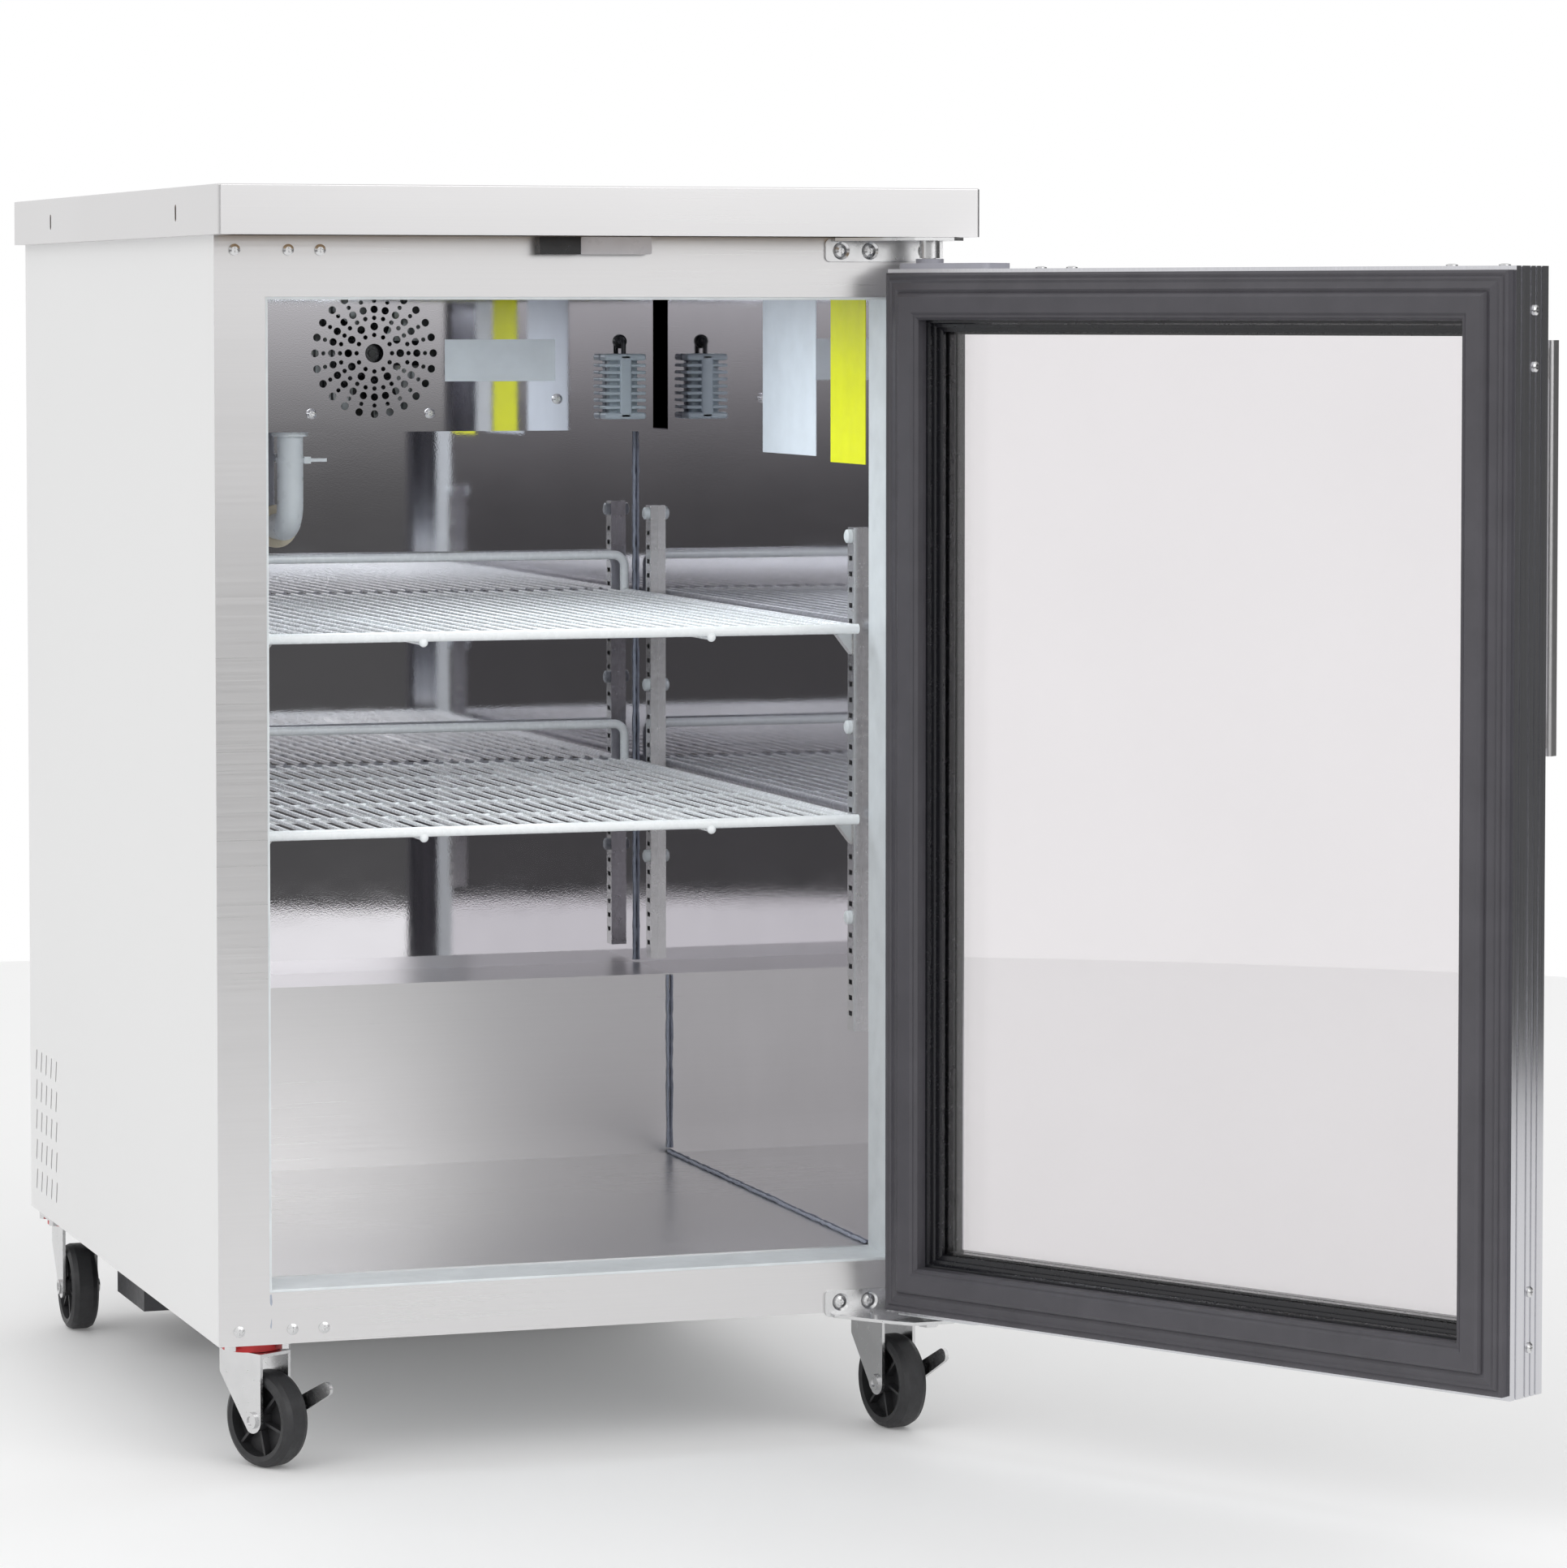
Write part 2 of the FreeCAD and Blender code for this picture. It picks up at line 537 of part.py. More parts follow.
def shelf_clips():
    """Bent metal strips hooked in the pilasters, one under each corner of each shelf."""
    clips = []
    for level in SHELF_LEVELS.values():
        top = level - ROD - 0.4
        for y in PILASTER_Y:
            x1 = CAVITY_X - PILASTER_DEPTH
            tab = [(x1, y - 5, top), (x1 - 13, y - 5, top), (x1 - 13, y - 5, top - 1.6),
                   (x1 - 1.8, y - 5, top - 16), (x1, y - 5, top - 18)]
            clips.append(prism(tab, V(0, 10, 0)))
    return group(clips + [mirrored(c) for c in clips])


def shelf():
    """Coated wire shelf at the lower level: rod frame, thin wires, a rear stop and two stiffeners."""
    level = SHELF_LEVELS["shelf_lower"]
    pieces = []
    corner = 10.0
    x, y0, y1 = SHELF_HALF - ROD, SHELF_FRONT, SHELF_BACK - ROD
    # front rod runs past the side rods, with the seam of its face turned away from the wires
    front = rod(-SHELF_HALF, y0, level, ROD, 2 * SHELF_HALF, X_AXIS)
    front.rotate(V(0, y0, level), X_AXIS, 120)
    pieces.append(front)
    for side in (-1, 1):
        pieces.append(rod(side * x, y0, level, ROD, y1 - y0, Y_AXIS))
        pieces.append(Part.makeSphere(ROD + 0.3, V(side * x, y1, level)))
    # raised stop along the back, with rounded corners
    rise = 34.0
    stop = rise - corner
    for side in (-1, 1):
        pieces.append(rod(side * x, y1, level, ROD, stop))
        arc = Part.makeTorus(corner, ROD, V(side * (x - corner), y1, level + stop), Y_AXIS)
        quarter = box(min(side * (x - corner), side * (x + 9)), max(side * (x - corner), side * (x + 9)),
                      y1 - 9, y1 + 9, level + stop, level + stop + corner + 9)
        pieces.append(arc.common(quarter))
    pieces.append(rod(-x + corner, y1, level + rise, ROD, 2 * (x - corner), X_AXIS))
    # thin wires from front to back, carried by cross rods
    count = 33
    pitch = 2 * x / (count + 1)
    for i in range(1, count + 1):
        pieces.append(rod(-x + i * pitch, y0, level + ROD - WIRE - SUNK, WIRE, y1 - y0, Y_AXIS))
    cross_rods = 5
    for i in range(1, cross_rods + 1):
        y = y0 + i * (y1 - y0) / cross_rods
        pieces.append(rod(-x, y, level + ROD - 2 * WIRE - 1.2, 2.0, 2 * x, X_AXIS))
    # two stiffeners whose ball ends show under the front rod
    for side in (-1, 1):
        sx = side * 118.0
        pieces.append(rod(sx, y0 - 2, level - ROD, 3.0, y1 - y0 + 2, Y_AXIS))
        pieces.append(Part.makeSphere(3.6, V(sx, y0 - 2, level - ROD - 0.6)))
    return fuse(pieces)


# ---------------------------------------------------------------- door
def mitred_ring(profile, holes=()):
    """Four legs round the door's edge. profile lists (u, v) points: u inward, v outward."""
    widest = max(u for u, v in profile)
    width, height = DOOR_RIGHT - DOOR_LEFT, DOOR_TOP - DOOR_BOTTOM
    v_low = min(v for u, v in profile) - 1
    v_high = max(v for u, v in profile) + 1

    def bar(points, along_x, length):
        corners = [(0, -v, u) if along_x else (u, -v, 0) for u, v in points]
        return prism(corners, V(length, 0, 0) if along_x else V(0, 0, length))

    legs = []
    m = widest + 1
    for along_x, length in ((False, height), (True, width)):
        leg = bar(profile, along_x, length)
        for hole in holes:
            leg = leg.cut(bar(hole, along_x, length))
        if along_x:
            trap = [(0, -v_high, 0), (length, -v_high, 0), (length - m, -v_high, m), (m, -v_high, m)]
        else:
            trap = [(0, -v_high, 0), (m, -v_high, m), (m, -v_high, length - m), (0, -v_high, length)]
        leg = leg.common(prism(trap, V(0, v_high - v_low, 0)))
        twin = leg.mirror(V(width / 2, 0, height / 2), Z_AXIS if along_x else X_AXIS)
        legs += [leg, twin]
    for leg in legs:
        leg.translate(V(DOOR_LEFT, DOOR_INNER, DOOR_BOTTOM))
    return legs


def latch_screw_places():
    y = DOOR_INNER - DOOR_THICKNESS * 0.58
    return [V(DOOR_LEFT, y, z) for z in
            (DOOR_TOP - 32, DOOR_TOP - 73, DOOR_BOTTOM + 77, DOOR_BOTTOM + 36)]


def top_rivet_places():
    y = DOOR_INNER - DOOR_THICKNESS / 2
    return [V(x, y, DOOR_TOP) for x in
            (DOOR_LEFT + 24, DOOR_LEFT + 70, DOOR_RIGHT - 136, DOOR_RIGHT - 166)]


def fastener_bores():
    """Cutters for the shanks of the door's screws and rivets."""
    sideways = [Part.makeCylinder(SCREW_SHANK, DOOR_WALL, p, X_AXIS) for p in latch_screw_places()]
    down = [Part.makeCylinder(SCREW_SHANK, DOOR_WALL, p, -Z_AXIS) for p in top_rivet_places()]
    return Part.makeCompound(sideways + down)


def pin_bores():
    """Cutters for the bush seats at the door's top and bottom."""
    low = rod(PIN_X, PIN_Y, DOOR_BOTTOM - 1, BUSH_RADIUS, BUSH_LENGTH + 1)
    high = rod(PIN_X, PIN_Y, DOOR_TOP - BUSH_LENGTH, BUSH_RADIUS, BUSH_LENGTH + 1)
    return Part.makeCompound([low, high])


def door_frame():
    """Mitred aluminium extrusion with grooves along its outer edge and a lip over the glass."""
    d, border, lip = DOOR_THICKNESS, DOOR_BORDER, 3.0
    profile = [(0, 0), (border, 0), (border, d - lip), (GLASS_BORDER - 1, d - lip), (GLASS_BORDER - 1, d),
               (0, d)]
    for v in (34.0, 27.0, 20.0, 8.0):
        profile += [(0, v), (1.4, v - 0.4), (1.4, v - 1.6), (0, v - 2.0)]
    hollow = [(DOOR_WALL, 3), (border - 2.5, 3), (border - 2.5, d - 3), (DOOR_WALL, d - 3)]
    legs = mitred_ring(profile, [hollow])
    return group([swung_open(leg.cut(pin_bores()).cut(fastener_bores())) for leg in legs])


def door_gasket():
    """Ribbed magnetic gasket on the inner face. It tapers towards the edge, clear of the hinge."""
    profile = [(3, 0), (3, -5.8), (5, -7.0), (7, -6.4), (9, -8.6), (11, -8.0), (16, -10.2), (18.5, -9.4),
               (20, -12.8), (22, -14.3), (34, -14.3), (36, -12.6), (37.5, -13.0), (39.5, -10.5),
               (40, -6), (40, 0)]
    return group([swung_open(leg) for leg in mitred_ring(profile)])


GLASS_EDGE = 41.0
PANES = ((12.0, 16.0), (23.5, 27.5), (35.0, 39.0))   # v of each pane's two faces


def glazing_frame():
    """Black stepped plastic frame that holds the glass from the inside."""
    seat = PANES[0][0]
    profile = [(40, 0), (40, -1.5), (42, -1.5), (43, 0.5), (43, 4), (45.5, 4.5), (45.5, 8), (49, 8.5),
               (49, seat), (40, seat)]
    return group([swung_open(leg) for leg in mitred_ring(profile)])


def glass_panes():
    e = GLASS_EDGE
    panes = [box(DOOR_LEFT + e, DOOR_RIGHT - e, DOOR_INNER - v1, DOOR_INNER - v0, DOOR_BOTTOM + e,
                 DOOR_TOP - e) for v0, v1 in PANES]
    return group([swung_open(p) for p in panes])


def glass_spacers():
    """Black spacer bars between the panes."""
    legs = []
    for near, far in zip(PANES, PANES[1:]):
        legs += mitred_ring([(42, near[1]), (51, near[1]), (51, far[0]), (42, far[0])])
    return group([swung_open(leg) for leg in legs])


def door_handle():
    """Flat pull bar on two posts, near the latch edge."""
    low, high = BASE + 469, BASE + 774
    x0, x1 = DOOR_LEFT + 14, DOOR_LEFT + 34
    face = DOOR_INNER - DOOR_THICKNESS
    bar = rounded_plate(x0, x1, face - 38, face - 27, low, high, 3.0)
    posts = [box(x0 + 3, x1 - 3, face - 27, face, z, z + 22) for z in (low + 6, high - 28)]
    return group([swung_open(s) for s in [bar] + posts])


def hinge_plates():
    """Plates on the door's top and bottom edges, and the bushes that turn on the hinge pins."""
    y0, y1 = DOOR_INNER - DOOR_THICKNESS + 6, DOOR_INNER - 4
    x0, x1 = DOOR_RIGHT - 96, DOOR_RIGHT - 6
    top = rounded_plate(x0, x1, y0, y1, DOOR_TOP, DOOR_TOP + 4.5, 5.0)
    boss = rod(PIN_X, PIN_Y, DOOR_TOP, 11.0, 8.0)
    bottom = rounded_plate(x0 + 8, x1, y0, y1, DOOR_BOTTOM - 1.8, DOOR_BOTTOM, 5.0)
    bore = rod(PIN_X, PIN_Y, DOOR_BOTTOM - 5, PIN_RADIUS + RUNNING_GAP, DOOR_TOP - DOOR_BOTTOM + 30)
    plates = [fuse([top, boss]).cut(bore), bottom.cut(bore)]
    bushes = [rod(PIN_X, PIN_Y, z, BUSH_RADIUS, BUSH_LENGTH).cut(bore)
              for z in (DOOR_BOTTOM, DOOR_TOP - BUSH_LENGTH)]
    return group([swung_open(s) for s in plates + bushes])


def door_fasteners():
    """Pan-head screws in the latch edge and low rivets along the top edge."""
    solids = [screw(p.x, p.y, p.z, -X_AXIS, head=3.8, rise=2.2, depth=DOOR_WALL)
              for p in latch_screw_places()]
    solids += [screw(p.x, p.y, p.z, Z_AXIS, head=4.5, rise=1.8, depth=DOOR_WALL, cross=False)
               for p in top_rivet_places()]
    return group([swung_open(s) for s in solids])


# ---------------------------------------------------------------- hinge brackets and front screws
BRACKET_LEFT, BRACKET_RIGHT = RIGHT - 99, RIGHT - 1
BRACKET_SHEET = 2.5
DISH_FLOOR = 1.0             # metal left under each dished screw
BRACKET_SCREW_Z = (TOP - 10.5, BASE + 8.5)
BRACKET_REACH = FRONT - 62
DISHES = (RIGHT - 86, RIGHT - 62, RIGHT - 15)


def hinge_bracket(flange_z, leg_low, leg_high, screw_z):
    """Angle bracket: a leg on the front frame and a flange that reaches out to the pin."""
    face = FRONT
    leg = rounded_plate(BRACKET_LEFT, BRACKET_RIGHT, face - BRACKET_SHEET, face, leg_low, leg_high, 4.0, "y")
    inner, outer = RIGHT - 60, BRACKET_RIGHT
    z0, z1 = flange_z, flange_z + BRACKET_SHEET
    outline = [(BRACKET_LEFT + 6, face, z0), (outer, face, z0), (outer, BRACKET_REACH + 12, z0),
               (outer - 12, BRACKET_REACH, z0), (inner + 14, BRACKET_REACH, z0),
               (inner, BRACKET_REACH + 14, z0), (BRACKET_LEFT + 6, face - 8, z0)]
    flange = prism(outline, V(0, 0, z1 - z0))
    bore = rod(PIN_X, PIN_Y, flange_z - 5, PIN_RADIUS, 15)
    cutters = [bore]
    for x in DISHES:
        cutters.append(rod(x, face - 10, screw_z, 2.0, 12, Y_AXIS))
        cutters.append(Part.makeCone(7.0, 4.6, BRACKET_SHEET - DISH_FLOOR,
                                     V(x, face - BRACKET_SHEET, screw_z), Y_AXIS))
    return fuse([leg, flange]).cut(Part.makeCompound(cutters))


def hinge_brackets():
    top = hinge_bracket(TOP - 2.8, TOP - 19, TOP - 1, BRACKET_SCREW_Z[0])
    bottom = hinge_bracket(BASE - 3, BASE - 3, BASE + 18, BRACKET_SCREW_Z[1])
    return group([top, bottom])


def hinge_pins():
    """Bolts held in the brackets. Each ends in a bush in the door."""
    top_end = TOP - 0.3
    top = rod(PIN_X, PIN_Y, DOOR_TOP - 11, PIN_RADIUS, top_end - DOOR_TOP + 11)
    collar = rod(PIN_X, PIN_Y, DOOR_TOP + 8.6, 8.0, TOP - 2.8 - DOOR_TOP - 8.6)
    bottom = rod(PIN_X, PIN_Y, BASE - 8, PIN_RADIUS, DOOR_BOTTOM + 11 - BASE + 8)
    nut = hexagon(PIN_X, PIN_Y, BASE - 8, 8.0, 5.0)
    washer = rod(PIN_X, PIN_Y, BASE - 0.5, 8.0, 2.2)
    return group([fuse([top, collar]), fuse([bottom, nut, washer])])


def hexagon(x, y, z, radius, height):
    corners = [(x + radius * math.cos(math.radians(60 * i)), y + radius * math.sin(math.radians(60 * i)), z)
               for i in range(6)]
    return prism(corners, V(0, 0, height))


def body_screws():
    """Cross-head screws in the hinge brackets, the front frame and the evaporator cover."""
    out = V(0, -1, 0)
    face = FRONT
    solids = []
    for x in DISHES:
        for z in BRACKET_SCREW_Z:
            solids.append(screw(x, face - DISH_FLOOR, z, out, head=4.4, rise=1.9, depth=DISH_FLOOR))
    for x, z in COLUMN_SCREWS + RAIL_SCREWS:
        solids.append(screw(x, face, z, out, head=4.4, rise=1.8, depth=SKIN))
    for x, z in COVER_SCREWS:
        solids.append(screw(x, COVER_FRONT, z, out, head=4.5, rise=2.4, depth=SKIN))
    return group(solids)


def door_switch():
    """Reed switch under the worktop: a dark block beside a white one."""
    z0, z1, y0, y1 = TOP - 14, TOP - 0.5, FRONT - 14, FRONT
    dark = box(LEFT + 254, LEFT + 287, y0, y1, z0, z1)
    white = rounded_plate(LEFT + 287.5, LEFT + 345, y0 + 2, y1, z0, z1, 1.5, "y")
    return group([dark, white])


# ---------------------------------------------------------------- machinery
def machine_tray():
    """Slotted tray under the body, narrower at the back to leave room for the rear casters."""
    z0, z1 = BASE - TRAY_DROP, BASE - 0.2

    def outline(inset):
        w, n = TRAY_WIDE - inset, TRAY_NARROW - inset
        f, b, notch = TRAY_FRONT + inset, TRAY_BACK - inset, TRAY_NOTCH_Y - inset
        return [(-w, f), (w, f), (w, notch), (n, notch), (n, b), (-n, b), (-n, notch), (-w, notch)]

    outer = prism([(x, y, z0) for x, y in outline(0)], V(0, 0, z1 - z0))
    inner = prism([(x, y, z0 + TRAY_WALL) for x, y in outline(TRAY_WALL)], V(0, 0, TRAY_DROP))
    cutters = []
    for i in range(6):
        y = TRAY_FRONT + 16 + i * 16
        for side in (-1, 1):
            cutters.append(slot_cutter(side * TRAY_WIDE, y, BASE - 17, 4.0, 16.0, 0, "x"))
    return outer.cut(inner).cut(Part.makeCompound(cutters))


MACHINE_MID = (MACHINE_FRONT + BACK - SKIN) / 2
TRAY_FLOOR = BASE - TRAY_DROP + TRAY_WALL


def compressor():
    """Welded steel pot with a domed lid, feet and a terminal box."""
    x, y, r = 40.0, MACHINE_MID, 50.0
    foot_top = TRAY_FLOOR + 10
    pot = rod(x, y, foot_top, r, 110)
    lid = Part.makeSphere(90.0, V(x, y, foot_top + 110 - 58))
    lid = lid.common(rod(x, y, foot_top + 110, r - 2, 60))
    seam = rod(x, y, foot_top + 66, r + 2, 4)
    feet = [rod(x + sx * 42, y + sy * 34, TRAY_FLOOR, 8, 10) for sx in (-1, 1) for sy in (-1, 1)]
    plate = box(x - 54, x + 54, y - 44, y + 44, foot_top - 2, foot_top + 1)
    terminal = box(x + r - 8, x + r + 16, y - 20, y + 20, foot_top + 40, foot_top + 84)
    stubs = [rod(x + s * 20, y, foot_top + 120, 4.5, 30) for s in (-1, 1)]
    return fuse([pot, lid, seam, plate, terminal] + feet + stubs)


CONDENSER_X = LEFT + 24


def condenser_coil():
    x0, x1 = CONDENSER_X, CONDENSER_X + 40
    y0, y1 = MACHINE_FRONT + 3, BACK - 6
    z0, z1 = BASE + 3, BASE + 165
    block = box(x0, x1, y0, y1, z0, z1)
    fins = [box(x0 - 1, x0 + 10, y, y + 2, z0 + 5, z1 - 5) for y in
            [y0 + 5 + i * 6 for i in range(int((y1 - y0 - 8) / 6))]]
    return block.cut(Part.makeCompound(fins))


CONDENSER_FAN_RADIUS = 54.0
CONDENSER_FAN_Z = BASE + 84


def condenser_fan():
    fan = fan_blades(15.0, CONDENSER_FAN_RADIUS, 16.0, SHAFT + RUNNING_GAP)
    fan.rotate(V(0, 0, 0), Z_AXIS, -90)
    fan.translate(V(CONDENSER_X + 50, MACHINE_MID, CONDENSER_FAN_Z))
    return fan


def condenser_fan_motor():
    x0 = CONDENSER_X + 68
    body = rod(x0, MACHINE_MID, CONDENSER_FAN_Z, 24.0, 34, X_AXIS)
    shaft = rod(x0 - 20, MACHINE_MID, CONDENSER_FAN_Z, SHAFT, 20, X_AXIS)
    leg = box(x0 + 14, x0 + 17, MACHINE_MID - 12, MACHINE_MID + 12, BASE + SKIN, CONDENSER_FAN_Z)
    foot = box(x0 - 6, x0 + 17, MACHINE_MID - 12, MACHINE_MID + 12, BASE + SKIN, BASE + 4)
    return fuse([body, shaft, leg, foot])


def bent_pipe(points, radius, bend):
    """Round pipe through the points, with an arc at each corner."""
    pts = [V(*p) for p in points]
    edges, start = [], pts[0]
    for a, b, c in zip(pts, pts[1:], pts[2:]):
        into, out = (b - a).normalize(), (c - b).normalize()
        turn = math.acos(max(-1.0, min(1.0, into.dot(out))))
        cut = bend * math.tan(turn / 2)
        p, q = b - into * cut, b + out * cut
        inward = (out - into).normalize()
        middle = b + inward * (bend / math.cos(turn / 2) - bend)
        edges += [Part.LineSegment(start, p).toShape(), Part.Arc(p, middle, q).toShape()]
        start = q
    edges.append(Part.LineSegment(start, pts[-1]).toShape())
    path = Part.Wire(edges)
    ring = Part.Wire(Part.makeCircle(radius, pts[0], (pts[1] - pts[0]).normalize()))
    return path.makePipeShell([ring], True, False)


def refrigerant_pipes():
    """Copper lines: compressor to condenser, and the return up through the foam's back."""
    y = MACHINE_MID
    high = TRAY_FLOOR + 10 + 150
    hot = bent_pipe([(20, y, high + 0.1), (20, y, high + 22), (-60, y, high + 22), (-60, y + 42, high + 22),
                     (CONDENSER_X + 60, y + 42, high + 22)], 3.0, 10.0)
    cold = bent_pipe([(60, y, high + 0.1), (60, y, high + 14), (60, y + 40, high + 14),
                      (150, y + 40, high + 14)], 4.0, 11.0)
    drier = rod(150, y + 40, high + 14, 9.0, 70, X_AXIS)
    return group([hot, cold, drier])


def control_box():
    """Electrical box beside the compressor."""
    x0, x1 = RIGHT - 150, RIGHT - 30
    y0, y1, z0, z1 = MACHINE_FRONT + 10, BACK - 20, BASE + SKIN, BASE + 103
    wall = 1.5
    body = rounded_plate(x0, x1, y0, y1, z0, z1, 4.0)
    body = body.cut(box(x0 + wall, x1 - wall, y0 + wall, y1 - wall, z0 + wall, z1 - wall))
    knob_cap = rod((x0 + x1) / 2, BACK - 20, BASE + 80, 11, 12, Y_AXIS)
    return fuse([body, knob_cap])


def cord_inlet():
    """Gland for the supply cord, in the lower rear cover."""
    x, z = RIGHT - 30, BASE + 40
    shape = fuse([tube(x, BACK, z, 13, 5, 4, Y_AXIS), tube(x, BACK + 4, z, 8.5, 5, 8, Y_AXIS)])
    return shape


# ---------------------------------------------------------------- casters
def caster_plates():
    """Top plate of each caster, with its king pin and its four bolts."""
    plates = []
    for x, y, turn in CASTERS.values():
        half = 27.0
        x0, x1 = max(x - half, LEFT + 2), min(x + half, RIGHT - 2)
        plates.append(rounded_plate(x0, x1, y - half, y + half, BASE - PLATE, BASE, 4.0))
        plates.append(rod(x, y, KING_PIN_LOW, KING_PIN, BASE - PLATE - KING_PIN_LOW))
        plates += [hexagon(x + sx * 21.0, y + sy * 21.0, BASE - PLATE - 4.0, 5.2, 4.0)
                   for sx in (-1, 1) for sy in (-1, 1)]
    return group(plates)


def caster_seals():
    """Red rings that close the swivel bearings."""
    height = RING_HEIGHT - 0.4
    return group([tube(x, y, BASE - PLATE - height, RING_RADIUS, 12.0, height)
                  for x, y, turn in CASTERS.values()])


def placed_caster_piece(shape, name):
    """Local frame: the trail runs along +X, the axle along Y, the swivel axis is Z."""
    x, y, turn = CASTERS[name]
    shape.rotate(V(0, 0, 0), Z_AXIS, turn - 90)
    shape.translate(V(x, y, 0))
    return shape


def fork_leg(y0):
    a, r = TRAIL, 10.0
    z0, z1 = AXLE_Z, FORK_TOP
    back = -20.0
    shoulder = V(back, y0, z1 - 18)
    # the rear edge runs from the shoulder to a tangent on the round end
    slope = math.atan2(shoulder.z - z0, a - back) - math.asin(r / math.hypot(a - back, shoulder.z - z0))
    around = math.pi / 2 + slope
    tangent = V(a - r * math.sin(slope), y0, z0 - r * math.cos(slope))
    nose = V(a + r, y0, z0)
    middle = V(a + r * math.cos(around / 2), y0, z0 - r * math.sin(around / 2))
    corners = [tangent, shoulder, V(back, y0, z1), V(a + r, y0, z1), nose]
    lines = [Part.LineSegment(p, q).toShape() for p, q in zip(corners, corners[1:])]
    lines.append(Part.Arc(nose, middle, tangent).toShape())
    leg = Part.Face(Part.Wire(lines)).extrude(V(0, FORK_SHEET, 0))
    return leg.cut(rod(a, y0 - 1, z0, AXLE_RADIUS, FORK_SHEET + 2, Y_AXIS))


def caster_fork(name):
    """Pressed fork with its crown, and the axle bolt fixed through both legs."""
    crown = box(-20, TRAIL + 10, -FORK_INNER - FORK_SHEET, FORK_INNER + FORK_SHEET, FORK_TOP - FORK_SHEET,
                FORK_TOP)
    legs = [fork_leg(-FORK_INNER - FORK_SHEET), fork_leg(FORK_INNER)]
    king_bore = rod(0, 0, FORK_TOP - 10, KING_PIN + RUNNING_GAP, 20)
    fork = fuse([crown] + legs).cut(king_bore)
    lever_room = 3.6 if name in BRAKED else 0.0
    outer = FORK_INNER + FORK_SHEET
    axle = fuse([rod(TRAIL, -outer, AXLE_Z, AXLE_RADIUS, 2 * outer + lever_room, Y_AXIS),
                 rod(TRAIL, outer + lever_room, AXLE_Z, 6.0, 3.0, Y_AXIS),
                 tube(TRAIL, -outer - 2.4, AXLE_Z, 6.5, 3.6, 2.4, Y_AXIS),
                 rod(TRAIL, -outer - 1.2, AXLE_Z, 4.0, 1.2, Y_AXIS)])
    return group([placed_caster_piece(fork, name), placed_caster_piece(axle, name)])


def caster_wheel(name):
    """Moulded wheel: tyre with rounded shoulders, thin web, ribs and a hub."""
    r, w = WHEEL_RADIUS, WHEEL_WIDTH / 2
    near_half = [(5.0, -w), (8.5, -w), (8.5, -2.5), (27.5, -2.5), (28.5, -w + 1), (r - 5, -w),
                 (r - 1.6, -w + 2.0), (r, -w + 6)]
    section = near_half + [(a, -b) for a, b in reversed(near_half)]
    corners = [V(a, b, 0) for a, b in section]
    face = Part.Face(Part.makePolygon(corners + corners[:1]))
    wheel = face.revolve(V(0, 0, 0), Y_AXIS, 360)
    ribs = []
    for i in range(6):
        rib = box(7.5, 28.4, -w + 3, w - 3, -1.1, 1.1)
        rib.rotate(V(0, 0, 0), Y_AXIS, i * 60 + 15)
        ribs.append(rib)
    wheel = fuse([wheel] + ribs).cut(rod(0, -w - 1, 0, AXLE_RADIUS + RUNNING_GAP, 2 * w + 2, Y_AXIS))
    sleeve = tube(0, -w, 0, 5.2, AXLE_RADIUS + RUNNING_GAP, 2 * w, Y_AXIS)
    wheel = fuse([wheel, sleeve])
    wheel.translate(V(TRAIL, 0, AXLE_Z))
    return placed_caster_piece(wheel, name)


def brake_lever(name):
    """Side lever on the axle: it points up and forward, and is pressed down to lock the wheel."""
    y0 = FORK_INNER + FORK_SHEET + 0.3
    thick, reach, tip_radius = 3.0, 62.0, 5.5
    end = reach - tip_radius
    hub = rod(0, y0, 0, 9.5, thick, Y_AXIS)
    arm = prism([(0, y0, -7), (end, y0, -tip_radius), (end, y0, tip_radius), (0, y0, 7)], V(0, thick, 0))
    tip = rod(end, y0, 0, tip_radius, thick, Y_AXIS)
    pad = box(end - 16, end, y0 + thick, y0 + thick + 3, -3.4, 3.4)
    lever = fuse([hub, arm, tip, pad])
    lever = lever.cut(rod(0, y0 - 1, 0, AXLE_RADIUS + RUNNING_GAP, thick + 2, Y_AXIS))
    lever.rotate(V(0, 0, 0), Y_AXIS, -28)
    lever.translate(V(TRAIL, 0, AXLE_Z))
    return placed_caster_piece(lever, name)


# ---------------------------------------------------------------- export
def export(name, shape):
    solids = shape.Solids
    if not solids or not shape.isValid():
        print("CHECK", name, len(solids), shape.isValid())
    whole = solids[0] if len(solids) == 1 else Part.makeCompound(solids)
    whole.exportStep("parts/" + name + ".step")
    print(name, len(solids), round(sum(s.Volume for s in solids) / 1000, 1))


os.makedirs("parts", exist_ok=True)
for maker in (worktop_skin, worktop_core, rear_panel, rear_grille, base_pan, columns, cross_rails,
              breaker_strips, liner_walls, liner_floor, liner_step, insulation_foam, sealant_beads,
              blank_labels, evaporator_cover, evaporator_coil, evaporator_fan, evaporator_fan_motor,
              temperature_sensor, drain_elbow, pilasters, pilaster_knobs, shelf_clips, door_frame,
              door_gasket, glazing_frame, glass_panes, glass_spacers, door_handle, hinge_plates,
              door_fasteners, hinge_brackets, hinge_pins, body_screws, door_switch, machine_tray,
              compressor, condenser_coil, condenser_fan, condenser_fan_motor, refrigerant_pipes,
              control_box, cord_inlet, caster_plates, caster_seals):
    export(maker.__name__, maker())
export("side_panel_left", side_panel())
export("side_panel_right", mirrored(side_panel()))
for shelf_name, shelf_level in SHELF_LEVELS.items():
    placed_shelf = shelf()
    placed_shelf.translate(V(0, 0, shelf_level - SHELF_LEVELS["shelf_lower"]))
    export(shelf_name, placed_shelf)
